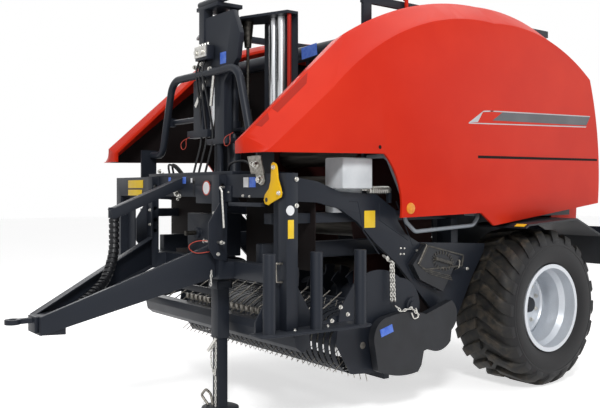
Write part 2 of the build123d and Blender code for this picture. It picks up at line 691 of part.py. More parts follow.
def rotor_housing():
    """Side bearings of the feed rotor, with the pins on which the pick-up swings."""
    y0 = CHAMBER_HALF + CHAMBER_WALL
    disc = rod_y(ROTOR_X, ROTOR_Z, 120, y0, y0 + 14)
    disc -= rod_y(ROTOR_X, ROTOR_Z, ROTOR_STUB_R + PIN_CLEARANCE, y0 - 1, y0 + 10)
    shaft = rod_y(ROTOR_X, ROTOR_Z, PIVOT_R + 20, y0 + 14, PICKUP_HALF - MOVING_GAP)
    pin = rod_y(ROTOR_X, ROTOR_Z, PIVOT_R, PICKUP_HALF - MOVING_GAP, PICKUP_HALF + 40)
    return both(disc + shaft + pin)


save("pickup_frame", pickup_frame())
save("pickup_reel", reel())
save("feed_rotor", rotor())
save("rotor_bearings", rotor_housing())


# Side shields of the pick-up
# a line, five arcs and lines round the lower edge with its notch, as X and Z
SHIELD_OUTLINE = ((1838, 540), (1800, 672), (1698, 718), (1553, 735), (1313, 702), (1033, 782), (972, 650), (1033, 553),
                  (1045, 470), (1167, 411), (1290, 440), (1338, 429), (1364, 327), (1400, 284), (1587, 280),
                  (1800, 340))
SHIELD_RUNS = "aalalalllal"


def shield():
    y0 = PICKUP_HALF + 41
    plate = extrude(outline(SHIELD_OUTLINE, SHIELD_RUNS, y0), amount=SHIELD_T, dir=(0, 1, 0))
    return plate + box(1640, 1720, PICKUP_HALF + PICKUP_PLATE_T, y0, 450, 650)


save("pickup_shield_left", shield())
save("pickup_shield_right", other_side(shield()))


# Wind guard: a striped beam on two arms with slanted rods behind it
GUARD_SECTION = ((2330, 560), (2345, 690), (2440, 690), (2465, 640), (2450, 570), (2400, 530))


def wind_guard():
    guard = side_prism(GUARD_SECTION, -GUARD_HALF, GUARD_HALF)
    for i in range(17):
        y = (i - 8) * 130
        guard += straight_rod((2360, y, 680), (1990, y, 900), 5)
    return guard


def guard_arms():
    """Two flat arms behind the ends of the beam, with the pins on which it swings."""
    low, high = GUARD_SECTION[0], GUARD_SECTION[1]
    seat_x = low[0] + (high[0] - low[0]) * (ARM_SEAT_Z - low[1]) / (high[1] - low[1])
    arm = side_prism(((GUARD_PIVOT_X, GUARD_PIVOT_Z - 20), (GUARD_PIVOT_X - 35, GUARD_PIVOT_Z),
                      (GUARD_PIVOT_X, GUARD_PIVOT_Z + 35), high, (seat_x, ARM_SEAT_Z)), GUARD_HALF - 15, GUARD_HALF)
    return both(arm + rod_y(GUARD_PIVOT_X, GUARD_PIVOT_Z, 14, GUARD_HALF, PICKUP_HALF - 0.5))


save("wind_guard", wind_guard())
save("guard_arms", guard_arms())


# Film units: two stretch rollers, a film mandrel and a red bar on a swinging bracket
def unit_bracket():
    shape = top_prism(((UNIT_POST_X + 35, UNIT_POST_Y - 35), (UNIT_POST_X + 50, MANDREL_Y + 60),
                       (STRETCH_X + 50, BAR_Y + 30), (STRETCH_X - 50, BAR_Y + 30), (STRETCH_X - 50, MANDREL_Y),
                       (UNIT_POST_X - 60, UNIT_POST_Y - 55)), 0, UNIT_PLATE_T)
    plates = Pos(0, 0, UNIT_BOTTOM_Z) * shape + Pos(0, 0, UNIT_TOP_Z) * shape
    spine = box(STRETCH_X - 50, STRETCH_X - 38 - MOVING_GAP, MANDREL_Y + 20, BAR_Y + 30,
                UNIT_BOTTOM_Z + UNIT_PLATE_T, UNIT_TOP_Z)
    bracket = plates + spine
    bracket += rod_z(UNIT_POST_X, UNIT_POST_Y, UNIT_POST_R + 18, UNIT_BOTTOM_Z - 20, UNIT_BOTTOM_Z + 80)
    bracket += rod_z(UNIT_POST_X, UNIT_POST_Y, UNIT_POST_R + 18, UNIT_TOP_Z - 60, UNIT_TOP_Z + 40)
    bracket -= rod_z(UNIT_POST_X, UNIT_POST_Y, UNIT_POST_R + PIN_CLEARANCE, UNIT_BOTTOM_Z - 30, UNIT_TOP_Z + 50)
    for y in STRETCH_Y:
        bracket -= rod_z(STRETCH_X, y, STUB_R + PIN_CLEARANCE, UNIT_BOTTOM_Z, UNIT_TOP_Z + 50)
    return bracket - rod_z(MANDREL_X, MANDREL_Y, STUB_R + PIN_CLEARANCE, UNIT_BOTTOM_Z, UNIT_TOP_Z + 50)


def stretch_roller(y):
    z0 = UNIT_BOTTOM_Z + UNIT_PLATE_T
    body = rod_z(STRETCH_X, y, STRETCH_R, z0 + 1, UNIT_TOP_Z - 1)
    return body + rod_z(STRETCH_X, y, STUB_R, z0 - STUB_L, UNIT_TOP_Z + STUB_L)


def mandrel():
    z0 = UNIT_BOTTOM_Z + UNIT_PLATE_T
    rod = rod_z(MANDREL_X, MANDREL_Y, STUB_R, z0 - STUB_L, UNIT_TOP_Z + STUB_L)
    top_cone = Pos(MANDREL_X, MANDREL_Y, UNIT_TOP_Z - 1 - 100) * Cone(26, 46, 200)
    low_cone = Pos(MANDREL_X, MANDREL_Y, z0 + 1 + 75) * Cone(46, 26, 150)
    return rod + top_cone + low_cone


def film_bar():
    z0 = UNIT_BOTTOM_Z + UNIT_PLATE_T
    return rod_z(STRETCH_X + 10, BAR_Y, BAR_R, z0, UNIT_TOP_Z)


for side, turn in (("left", lambda shape: shape), ("right", other_side)):
    save(f"unit_bracket_{side}", turn(unit_bracket()))
    save(f"stretch_roller_inner_{side}", turn(stretch_roller(STRETCH_Y[0])))
    save(f"stretch_roller_outer_{side}", turn(stretch_roller(STRETCH_Y[1])))
    save(f"film_mandrel_{side}", turn(mandrel()))
    save(f"film_bar_{side}", turn(film_bar()))


# Head frame: deck on the upper beam, posts, crossbar, column and a bent guard tube
# the plate beside the column, as Y and Z
HEAD_ARM = ((-60, 2980), (365, 2980), (461, 2794), (423, 2612), (345, 2550), (240, 2450), (-60, 2450))


def head_frame():
    deck = box(2120, POST_X + POST_W / 2, -DECK_HALF, DECK_HALF, POST_TOP, POST_TOP + DECK_T)
    z0 = POST_TOP + DECK_T
    posts = both(rod_z(UNIT_POST_X, UNIT_POST_Y, UNIT_POST_R, z0, UNIT_TOP_Z + 110))
    posts += both(rod_z(UNIT_POST_X, UNIT_POST_Y, UNIT_POST_R + 18, z0, UNIT_BOTTOM_Z - 21))
    top = box(2260, 2490, -160, 160, UNIT_TOP_Z + 110, UNIT_TOP_Z + 140)
    bar = rod_y(2450, UNIT_TOP_Z + 165, 30, -160, 520)
    column = box(2410, 2490, -120, -40, 2700, UNIT_TOP_Z + 110)
    column += box(2410, 2480, -130, -30, 2500, 2700)
    yoke = box(2410, 2480, -225, 240, 2440, 2510)
    # two upright boxes, each on a foot that points to the right
    boot_right = box(2410, 2480, -225, -80, 2110, 2440) + box(2410, 2480, -330, -10, 2050, 2110)
    boot_left = box(2410, 2480, 105, 240, 2030, 2440) + box(2410, 2480, -20, 285, 1985, 2030)
    stay = rod_z(2445, 130, 25, z0, 1985)
    arm = Pos(2440, 0, 0) * make_face(Polyline(*[(0, y, z) for y, z in HEAD_ARM], close=True))
    arm = extrude(arm, amount=40, dir=(1, 0, 0))
    valve = box(2490, 2550, -75, 110, 2640, 2750)
    return deck + posts + top + bar + column + yoke + boot_right + boot_left + stay + arm + valve


HOOP_X = 2520
HOOP_R = 30
HOOP_LEG = ((-880, 1930), (-690, 1930), (-500, 2535))
HOOP_FOOT_Y = 878
STRUT_X = 2455
STRUT_Z = 2200
STRUT_R = 22


def hoop():
    """A bent tube on two upright plates, with a strut to the head frame."""
    left = [(HOOP_X, y, z) for y, z in HOOP_LEG]
    right = [(HOOP_X, -y, z) for y, z in HOOP_LEG[::-1]]
    frame = pipe(left + right, [90, 150, 150, 90], HOOP_R)
    frame += both(box(HOOP_X - 40, POST_X, HOOP_FOOT_Y, HOOP_FOOT_Y + 20, POST_TOP, 1975))
    strut = rod_y(STRUT_X, STRUT_Z, STRUT_R, -600, -225 - SEAT_GAP)
    return frame + (strut + box(STRUT_X - 12, HOOP_X - 12, -640, -590, STRUT_Z - 35, STRUT_Z + 35))


save("head_frame", head_frame())
save("guard_hoop", hoop())


# Film rack with three spindles, on the left
def film_rack():
    rack = top_prism(((2900, 1215), (2900, 1350), (2820, 1380), (2080, 1430), (2030, 1400), (2030, 1215)),
                     POST_Z0 - RACK_T, POST_Z0)
    for x, y in SPINDLE_POINTS:
        rack += rod_z(x, y, SPINDLE_OUT_R, POST_Z0 - 1, POST_Z0 + SPINDLE_LENGTH)
    return rack


save("film_rack", film_rack())


# Fenders with the rear lamp brackets
FENDER_LINE = ((370, 1320), (330, 1340), (-330, 1375), (-700, 1220), (-850, 960), (-862, 968), (-712, 1236),
               (-332, 1390), (332, 1354), (370, 1334))


def fender():
    sheet = side_prism(FENDER_LINE, 915, 1420)
    web = box(-300, -260, BEAM_Y + 10, BEAM_Y + 60, 1376, SIDE_BEAM_Z)
    return sheet + web


def lamp_bracket():
    plate = box(-890, -864, 1080, 1400, 1030, 1300)
    stem = side_prism(((-864, 1020), (-864, 1060), (-810.8, 1060), (-833.2, 1020)), 1180, 1240)
    return plate + stem


def tail_lamp():
    lamp = box(-940, -890 - SEAT_GAP, 1110, 1370, 1090, 1200)
    return fillet(lamp.edges().filter_by(Axis.Z) + lamp.edges().filter_by(Axis.Y).group_by(Axis.X)[0], 12)


for side, turn in (("left", lambda shape: shape), ("right", other_side)):
    save(f"fender_{side}", turn(fender()))
    save(f"lamp_bracket_{side}", turn(lamp_bracket()))
    save(f"tail_lamp_{side}", turn(tail_lamp()))


# Small pieces on the left: oil box and wheel chocks in their holder
def oil_box():
    return box(1800, 2080, 960, 1050, SIDE_BEAM_Z + SIDE_BEAM_H, 1700) + box(1800, 2080, 960, 1160, 1640, 1860)


# the pair of chocks and the plate behind them, as X and Z
CHOCK_OUTLINE = ((866, 1104), (1240, 1215), (1380, 1071), (1305, 954), (1051, 844))
HOLDER_OUTLINE = ((846, 1104), (1245, 1230), (1400, 1075), (1315, 940), (1045, 822))
HOLDER_T = 4
CHOCK_W = 28


def chocks():
    """Two chocks side by side, joined at their rear edge."""
    y0 = SIDE_PLATE_Y + SIDE_PLATE_T + HOLDER_T
    pair = side_prism(CHOCK_OUTLINE, y0, y0 + 2 * CHOCK_W)
    return pair - box(920, 1400, y0 + CHOCK_W - 4, y0 + CHOCK_W + 4, 800, 1300)


def chock_holder():
    y0 = SIDE_PLATE_Y + SIDE_PLATE_T
    return side_prism(HOLDER_OUTLINE, y0, y0 + HOLDER_T)


save("oil_box", oil_box())
save("wheel_chocks", chocks())
save("chock_holder", chock_holder())
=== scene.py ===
# %% [markdown]
# A combined round baler and bale wrapper
#
# The machine is towed. It rolls hay into a bale in the chamber under the red covers, and the film
# units at the front wrap it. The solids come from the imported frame. This script gives every surface
# its finish, and makes the pieces whose look needs more than a solid, such as tyres, chains and bolts.

# %% Start
import bmesh
import bpy
import json
from math import cos, pi, radians, sin
from mathutils import Matrix, Vector


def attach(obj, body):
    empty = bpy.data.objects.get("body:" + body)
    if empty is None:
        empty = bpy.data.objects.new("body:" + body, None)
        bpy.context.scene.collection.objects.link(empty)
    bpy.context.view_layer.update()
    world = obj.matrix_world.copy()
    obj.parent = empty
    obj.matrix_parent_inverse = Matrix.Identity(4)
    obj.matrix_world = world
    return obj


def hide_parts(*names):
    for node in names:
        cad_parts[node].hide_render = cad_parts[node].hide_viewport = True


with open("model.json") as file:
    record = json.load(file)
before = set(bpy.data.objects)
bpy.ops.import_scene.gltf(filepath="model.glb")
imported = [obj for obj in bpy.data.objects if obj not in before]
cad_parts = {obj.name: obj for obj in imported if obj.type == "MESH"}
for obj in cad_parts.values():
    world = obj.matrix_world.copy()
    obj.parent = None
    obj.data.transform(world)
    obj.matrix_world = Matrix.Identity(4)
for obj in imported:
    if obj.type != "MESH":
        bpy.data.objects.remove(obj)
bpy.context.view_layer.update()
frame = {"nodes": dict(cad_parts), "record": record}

# %% [markdown]
# The frame's origin lies under the middle of the machine. Places could be written from there, but
# the axle is further back, and most sizes on such a machine are taken from it. So places are
# written in millimetres from the axle and then moved. X runs forward, Y to the left and Z up.

# %% Places from the axle
AXLE_X = -1430
FORWARD = (1, 0, 0)
OUT_LEFT = (0, 1, 0)
UP = (0, 0, 1)


def place(x, y, z):
    """A point in millimetres from the axle's middle on the ground, in the frame's metres."""
    return Vector(((x + AXLE_X) / 1000, y / 1000, z / 1000))


# %% [markdown]
# The camera stands at the front left, level, a little above the wheels. In the photograph the
# horizon lies a little above the middle. The camera could be tilted to bring it there, but then
# upright edges would lean. Its view is shifted instead.

# %% Camera
CAMERA_PLACE = (4.154, 5.273, 1.630)
CAMERA_YAW = radians(37.26)
LENS_MM = 46.54
SENSOR_MM = 36
PHOTO_W = 600
PHOTO_H = 408
HORIZON_ROW = 190.18

camera = bpy.data.objects.new("camera", bpy.data.cameras.new("camera"))
bpy.context.scene.collection.objects.link(camera)
camera.data.lens = LENS_MM
camera.data.sensor_width = SENSOR_MM
camera.data.shift_y = (HORIZON_ROW - PHOTO_H / 2) / PHOTO_W
camera.location = CAMERA_PLACE
camera.rotation_euler = (pi / 2, 0, pi - CAMERA_YAW)
bpy.context.scene.camera = camera
print("view angle:", round(camera.data.angle * 180 / pi, 1), "degrees")

# %% [markdown]
# The machine was photographed in sunshine. A sun lamp could light it, but an area lamp's shadows
# also soften with distance, which suits the deep gaps between the beams. So the key is a small and
# strong one. A wide one hangs above as the sky, and two more fill the left and the back.

# %% Lights
LAMPS = (
    # name, place, aims at, width in metres, power in watts
    ("key", (5.2, 6.8, 6.8), (0, 0, 1.4), 1.6, 480),
    ("sky", (-1.0, 0.5, 8.5), (0, 0, 1.5), 8.0, 260),
    ("fill", (-6.5, 6.0, 3.0), (-0.5, 0, 1.2), 5.0, 90),
    ("back", (-2.0, -7.0, 4.5), (0, 0, 1.5), 5.0, 130))


def lamp(name, where, target, width, watts):
    light = bpy.data.lights.new(name, "AREA")
    light.size = width
    light.energy = watts
    shade = bpy.data.objects.new(name, light)
    shade.location = where
    shade.rotation_euler = (Vector(target) - Vector(where)).to_track_quat("-Z", "Y").to_euler()
    bpy.context.scene.collection.objects.link(shade)


for row in LAMPS:
    lamp(*row)
bpy.context.scene.view_settings.view_transform = "Standard"
print("lamps:", [row[0] for row in LAMPS])

# %% [markdown]
# A material is a small graph of nodes. Colours are written as sRGB hex values, as a colour picker
# gives them, and turned to the linear values that a shader needs. One function adds a node. The
# rest are the steps that most of the finishes share: a clouded colour, an uneven shine and a fine
# bump. Each pattern's size is a real one in millimetres, unless its comment says that it is drawn
# coarser.

# %% Colour and node helpers
def linear(code):
    """An sRGB hex colour as a linear colour with alpha."""
    shades = [int(code[i:i + 2], 16) / 255 for i in (1, 3, 5)]
    return [s / 12.92 if s <= 0.04045 else ((s + 0.055) / 1.055) ** 2.4 for s in shades] + [1.0]


def add(tree, kind, links=None, values=None, **settings):
    """Adds a node: links and values by socket name, settings by property name."""
    made = tree.nodes.new(kind)
    for name, value in settings.items():
        setattr(made, name, value)
    for name, value in (values or {}).items():
        made.inputs[name].default_value = value
    for name, source in (links or {}).items():
        tree.links.new(source, made.inputs[name])
    return made


def blank(name):
    """A new material with its tree, its principled shader and a socket with object coordinates."""
    made = bpy.data.materials.new(name)
    print("finish:", name)
    made.use_nodes = True
    tree = made.node_tree
    return made, tree, tree.nodes["Principled BSDF"], add(tree, "ShaderNodeTexCoord").outputs["Object"]


def per_metre(size_mm):
    """A noise scale whose blots are about this many millimetres across."""
    return 1000 / size_mm


def coloured(tree, shader, source, stops):
    """The base colour runs through hex colours, each with its place, as the source rises to 1."""
    ramp = add(tree, "ShaderNodeValToRGB", {"Fac": source})
    while len(ramp.color_ramp.elements) < len(stops):
        ramp.color_ramp.elements.new(0.5)
    for element, (where, code) in zip(ramp.color_ramp.elements, stops):
        element.position = where
        element.color = linear(code)
    tree.links.new(ramp.outputs["Color"], shader.inputs["Base Color"])


def uneven_shine(tree, shader, cloud, low, high):
    """A roughness that follows a noise between two values."""
    spread = add(tree, "ShaderNodeMapRange", {"Value": cloud}, {"To Min": low, "To Max": high})
    tree.links.new(spread.outputs["Result"], shader.inputs["Roughness"])


def grain(tree, shader, spot, size_mm, strength, depth):
    """A fine bump on the surface, for peel, moulding grain or rubber, with its depth in metres."""
    noise = add(tree, "ShaderNodeTexNoise", {"Vector": spot}, {"Scale": per_metre(size_mm), "Detail": 2.0})
    bump = add(tree, "ShaderNodeBump", {"Height": noise.outputs["Fac"]},
               {"Strength": strength, "Distance": depth})
    tree.links.new(bump.outputs["Normal"], shader.inputs["Normal"])


# %% [markdown]
# Powder coat is a thick satin paint, baked on. It is a dark blue-grey here, nearly black in shade.
# The eye reads it from soft, wide highlights with a faint orange peel, and from dust on what faces
# up. The dust could be painted on by hand, but a noise times the normal's Z finds every upper face
# by itself.

# %% Powder coat
# real orange peel is about 1 mm across, which is finer than a pixel, so it is drawn coarser
PEEL_MM = 4
DUST_MM = 180
DUST_SLOPE = 0.3
DUST_MOST = 0.5
COAT_MIRROR = 0.19


def powder_coat(name, shade, dust, rough):
    made, tree, shader, spot = blank(name)
    cloud = add(tree, "ShaderNodeTexNoise", {"Vector": spot},
                {"Scale": per_metre(DUST_MM), "Detail": 5.0}).outputs["Fac"]
    normal = add(tree, "ShaderNodeNewGeometry").outputs["Normal"]
    up = add(tree, "ShaderNodeSeparateXYZ", {"Vector": normal}).outputs["Z"]
    facing = add(tree, "ShaderNodeMapRange", {"Value": up},
                 {"From Min": DUST_SLOPE, "From Max": 1.0, "To Max": DUST_MOST})
    amount = add(tree, "ShaderNodeMath", {0: cloud, 1: facing.outputs["Result"]}, operation="MULTIPLY")
    mix = add(tree, "ShaderNodeMix", {"Factor": amount.outputs["Value"]}, data_type="RGBA")
    mix.inputs["A"].default_value = linear(shade)
    mix.inputs["B"].default_value = linear(dust)
    tree.links.new(mix.outputs["Result"], shader.inputs["Base Color"])
    uneven_shine(tree, shader, cloud, rough - 0.06, rough + 0.1)
    grain(tree, shader, spot, PEEL_MM, 0.06, 0.001)
    shader.inputs["Specular IOR Level"].default_value = COAT_MIRROR
    return made


black_coat = powder_coat("satin_black_powder_coat", shade="#22262e", dust="#4c4e52", rough=0.4)
red_coat = powder_coat("red_powder_coat", shade="#a82318", dust="#a04a3a", rough=0.36)
# the chamber's red paint, darkened to near black: painted shade for the inside of the chamber
chamber_shade_coat = powder_coat("red_chamber_paint_in_painted_shade", shade="#2e0f0d", dust="#33201c", rough=0.55)
grey_coat = powder_coat("grey_powder_coat", shade="#8b9299", dust="#989b9c", rough=0.38)
yellow_coat = powder_coat("yellow_powder_coat", shade="#efbd1c", dust="#d9be58", rough=0.38)

# %% [markdown]
# The covers are moulded in glass-fibre plastic with a red gel coat, and a thin clear skin over the colour. A
# perfectly flat gloss would look like glass, so a slow bump bends the long reflections, as on a real
# moulding. A darker copy of the red is painted shade, for the recesses in the flange. The faces that look
# inwards are drawn rough and near-black.

# %% Red gel coat, its copy in painted shade and its rough inner side
GEL_CLOUD_MM = 500
WAVE_MM = 320
GEL_MIRROR = 0.12
SKIN_ROUGH = 0.14


def gel_coat(name, dark, light, rough, skin):
    made, tree, shader, spot = blank(name)
    cloud = add(tree, "ShaderNodeTexNoise", {"Vector": spot},
                {"Scale": per_metre(GEL_CLOUD_MM), "Detail": 3.0}).outputs["Fac"]
    coloured(tree, shader, cloud, ((0.35, dark), (0.7, light)))
    grain(tree, shader, spot, WAVE_MM, 0.12, 0.004)
    shader.inputs["Roughness"].default_value = rough
    shader.inputs["Specular IOR Level"].default_value = GEL_MIRROR
    shader.inputs["Coat Weight"].default_value = skin
    shader.inputs["Coat Roughness"].default_value = SKIN_ROUGH
    return made


red_gel = gel_coat("red_gel_coat", "#cb2812", "#d43018", rough=0.42, skin=0.04)
# a darker copy of the red gel: painted shade for the recesses in the flange
recess_shade_gel = gel_coat("shaded_red_gel_coat", "#a31d0f", "#ab2513", rough=0.44, skin=0.04)
# near-black and rough: on the covers' inward faces, the groove strip and lock, and the bulkhead panels,
# where it is painted shade
rough_near_black = gel_coat("rough_near_black_gel_coat", "#141111", "#1f1919", rough=0.75, skin=0.0)

# %% [markdown]
# The rims are pressed steel with a silver enamel. It could be a full metal, but then it would
# mirror the dark machine. Half metallic, with flakes in the colour, it keeps the pale body of a
# paint.

# %% Silver enamel
# real flakes are well under 1 mm, which is finer than a pixel, so they are drawn coarser
FLAKE_MM = 3


def silver_enamel():
    made, tree, shader, spot = blank("silver_enamel")
    flake = add(tree, "ShaderNodeTexNoise", {"Vector": spot},
                {"Scale": per_metre(FLAKE_MM), "Detail": 2.0}).outputs["Fac"]
    coloured(tree, shader, flake, ((0.3, "#c3c8ce"), (0.7, "#dde1e6")))
    shader.inputs["Metallic"].default_value = 0.4
    shader.inputs["Roughness"].default_value = 0.38
    return made


enamel = silver_enamel()

# %% [markdown]
# Tyre rubber is black with a grey bloom. Soil and chaff rub into the tread, so it turns brownish
# near the tyre's largest radius, and the sidewall stays darker and smoother. Two materials could do
# this, but they would meet at a hard line. One pattern that measures each point's distance from the
# axle's line, an axis along Y, fades from one to the other.

# %% Tyre rubber
WHEEL_Z = 650
WHEEL_Y = 1128
SOIL_MM = 60
SOIL_FROM_R = 0.56
SOIL_FULL_R = 0.64
# real mould grain on rubber is under 1 mm, which is finer than a pixel, so it is drawn coarser
RUBBER_GRAIN_MM = 6


def tyre_rubber():
    made, tree, shader, spot = blank("tyre_rubber")
    from_hub = add(tree, "ShaderNodeVectorMath", {0: spot}, operation="SUBTRACT")
    from_hub.inputs[1].default_value = place(0, 0, WHEEL_Z)
    flat = add(tree, "ShaderNodeVectorMath", {0: from_hub.outputs["Vector"]}, operation="MULTIPLY")
    flat.inputs[1].default_value = (1, 0, 1)
    radius = add(tree, "ShaderNodeVectorMath", {0: flat.outputs["Vector"]}, operation="LENGTH")
    worn = add(tree, "ShaderNodeMapRange", {"Value": radius.outputs["Value"]},
               {"From Min": SOIL_FROM_R, "From Max": SOIL_FULL_R})
    soil = add(tree, "ShaderNodeTexNoise", {"Vector": spot},
               {"Scale": per_metre(SOIL_MM), "Detail": 6.0}).outputs["Fac"]
    blots = add(tree, "ShaderNodeMapRange", {"Value": soil}, {"From Min": 0.3, "From Max": 0.7})
    amount = add(tree, "ShaderNodeMath", {0: worn.outputs["Result"], 1: blots.outputs["Result"]},
                 operation="MULTIPLY")
    coloured(tree, shader, amount.outputs["Value"], ((0.0, "#19191b"), (0.35, "#242321"), (1.0, "#463f36")))
    grain(tree, shader, spot, RUBBER_GRAIN_MM, 0.25, 0.002)
    shader.inputs["Roughness"].default_value = 0.6
    shader.inputs["Specular IOR Level"].default_value = 0.3
    return made


rubber = tyre_rubber()

# %% [markdown]
# Bare metals: zinc-plated steel on pins and bolts, worn spring steel on the tines, and drawn
# aluminium on the film rollers, whose long lines lie along the tube. An anisotropic shine could
# show such lines too, but a noise stretched along an axis is plainer and shows them at this
# distance.

# %% Bare metals
ALL_WAYS = (1, 1, 1)
ALONG_Z = (1, 1, 0.02)
ALONG_Y = (1, 0.05, 1)


# rolled and drawn lines are finer than a pixel, so each metal's spots and lines are drawn coarser
def bare_metal(name, dark, light, rough, lines, size_mm):
    """A metal whose lines are stretched along one of the frame's axes."""
    made, tree, shader, spot = blank(name)
    drawn = add(tree, "ShaderNodeMapping", {"Vector": spot}, {"Scale": lines}).outputs["Vector"]
    tone = add(tree, "ShaderNodeTexNoise", {"Vector": drawn},
               {"Scale": per_metre(size_mm), "Detail": 4.0}).outputs["Fac"]
    coloured(tree, shader, tone, ((0.3, dark), (0.7, light)))
    uneven_shine(tree, shader, tone, rough - 0.08, rough + 0.12)
    shader.inputs["Metallic"].default_value = 1.0
    return made


zinc = bare_metal("zinc_plated_steel", "#b3b2ae", "#dedcd6", rough=0.34, lines=ALL_WAYS, size_mm=12)
spring = bare_metal("worn_spring_steel", "#6d6963", "#a39f97", rough=0.4, lines=ALL_WAYS, size_mm=20)
roller_skin = bare_metal("drawn_aluminium", "#b9bcc0", "#e0e1e2", rough=0.26, lines=ALONG_Z, size_mm=8)
worn_steel = bare_metal("rubbed_steel_rollers", "#2b2927", "#55524d", rough=0.48, lines=ALONG_Y, size_mm=18)

# %% [markdown]
# Fenders, shields and hoses are moulded in black plastic or rubber with a fine grain, which spreads
# the light. Blank plates and lenses are moulded too, in plain colours with a faint cloud, so one
# function with other sizes makes them all. Every finish then gets its slot in the record, and every
# solid its finish.

# %% Moulded plastics
# real grain is under 1 mm, which is finer than a pixel, so it is drawn coarser
def moulded(name, dark, light, rough, grain_mm=3, cloud_mm=150):
    made, tree, shader, spot = blank(name)
    cloud = add(tree, "ShaderNodeTexNoise", {"Vector": spot},
                {"Scale": per_metre(cloud_mm), "Detail": 4.0}).outputs["Fac"]
    coloured(tree, shader, cloud, ((0.3, dark), (0.75, light)))
    grain(tree, shader, spot, grain_mm, 0.2, 0.001)
    shader.inputs["Roughness"].default_value = rough
    shader.inputs["Specular IOR Level"].default_value = 0.3
    return made


black_moulding = moulded("grained_black_polyethylene", "#1a1c20", "#25272c", 0.5)
dusty_moulding = moulded("dusty_black_polyethylene", "#1f2124", "#5b574f", 0.5, cloud_mm=40)
white_moulding = moulded("white_polyethylene", "#c9ced2", "#dfe3e6", 0.45, grain_mm=5)
hose_skin = moulded("black_hose_rubber", "#141518", "#202124", 0.34, grain_mm=4)
yellow_plate = moulded("yellow_vinyl_plate", "#edc427", "#f3cf3c", 0.45, cloud_mm=60)
blue_plate = moulded("blue_vinyl_plate", "#3f68d2", "#6d90e4", 0.45, cloud_mm=40)
white_plate = moulded("white_vinyl_plate", "#e4e6e8", "#f2f3f4", 0.45, cloud_mm=60)
silver_stripe = moulded("silver_grey_vinyl_stripe", "#b9bcbf", "#cccfd1", 0.4, cloud_mm=300)
band_vinyl = moulded("dark_grey_vinyl_band", "#54575b", "#63666a", 0.4, cloud_mm=300)
amber_lens = moulded("amber_reflector", "#d9801a", "#eb9a2c", 0.25, grain_mm=8, cloud_mm=20)
red_lens = moulded("red_lamp_lens", "#a01210", "#b81c16", 0.22, grain_mm=8, cloud_mm=20)
wire_red = moulded("red_wire_sleeve", "#b0392c", "#c95a48", 0.5, cloud_mm=20)

FINISHES = {
    # the record's slots: the finish of its solids, then finishes of small pieces that share the slot
    "black_paint": (black_coat, rough_near_black), "red_cover": (red_gel, recess_shade_gel, silver_stripe, band_vinyl),
    "red_paint": (red_coat, wire_red), "grey_paint": (grey_coat, yellow_coat), "rim_paint": (enamel,),
    "tyre_rubber": (rubber,), "bare_steel": (worn_steel, zinc), "spring_steel": (spring,),
    "alu_roller": (roller_skin,), "black_plastic": (black_moulding, dusty_moulding),
    "white_tank": (white_moulding, white_plate, yellow_plate, blue_plate), "hose_rubber": (hose_skin,),
    "lamp_lens": (red_lens, amber_lens)}
SLOT_OF = {made.name: slot for slot, alike in FINISHES.items() for made in alike}
slots = {row["node"]: row["material_slot"] for row in frame["record"]["subparts"]}
# the chamber's plates take their red paint darkened with painted shade, every other solid its slot's first
# finish
for node_name, solid in frame["nodes"].items():
    finish = chamber_shade_coat if node_name == "chamber_plates" else FINISHES[slots[node_name]][0]
    solid.data.materials.clear()
    solid.data.materials.append(finish)
print("finishes:", len(SLOT_OF), "in", len(FINISHES), "slots")

# %% [markdown]
# Every piece is made as a mesh in the frame's own place, with its object at the origin. The place could be
# set on the object, but the export puts every object back to the origin. A piece then rides on a body,
# takes its finish, and may stand for a solid.

# %% From a shape to a piece
BODY_OF = {node_name: body for body, members in frame["record"]["behaviour"]["bodies"].items()
           for node_name in members}
BEVEL_ANGLE = radians(28)
SHARP_ANGLE = radians(35)
made_pieces = []


def kept_mesh(shape, name):
    """A mesh with what a shape holds."""
    mesh = bpy.data.meshes.new(name)
    shape.to_mesh(mesh)
    shape.free()
    return mesh


def soften_edges(shape, width_mm):
    """Bevels every edge that is sharper than the limit."""
    sharp = [e for e in shape.edges if len(e.link_faces) == 2 and e.calc_face_angle(0) > BEVEL_ANGLE]
    bmesh.ops.bevel(shape, geom=sharp, offset=width_mm / 1000, offset_type="OFFSET", segments=2,
                    affect="EDGES", profile=0.5, material=-1, clamp_overlap=True)


def finished(shape, name, materials, body, slot, bevel=0.0, replaced=()):
    """Turns a shape into a piece on its body, with soft edges of a width in millimetres."""
    if bevel:
        soften_edges(shape, bevel)
    for face in shape.faces:
        face.smooth = True
    mesh = kept_mesh(shape, name)
    for material in materials:
        mesh.materials.append(material)
    mesh.set_sharp_from_angle(angle=SHARP_ANGLE)
    piece = bpy.data.objects.new(name, mesh)
    bpy.context.scene.collection.objects.link(piece)
    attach(piece, body)
    if replaced:
        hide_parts(*replaced)
    made_pieces.append(name)
    print(name, "on", body + ":", len(mesh.polygons), "faces")


# %% [markdown]
# The floor is pale and wide. A brighter lamp could turn it white, but would bleach the machine with
# it. So the camera, metal and glass see it lifted to near white by a glow that gives no light to
# the machine, and its shadow stays. The sky is white to them too.

# %% Floor and sky
WHITE = (1, 1, 1, 1)
FLOOR_HALF = 40
FLOOR_CLOUD_MM = 5000 / 3
FLOOR_GLOW = 0.62
SKY_LIGHT = 0.3


def seen_directly(tree):
    """A socket that is 1 for what the camera, a mirror or a glass sees."""
    path = add(tree, "ShaderNodeLightPath")
    seen = add(tree, "ShaderNodeMath", {0: path.outputs["Is Camera Ray"], 1: path.outputs["Is Glossy Ray"]},
               operation="MAXIMUM")
    return add(tree, "ShaderNodeMath", {0: seen.outputs["Value"], 1: path.outputs["Is Transmission Ray"]},
               operation="MAXIMUM").outputs["Value"]


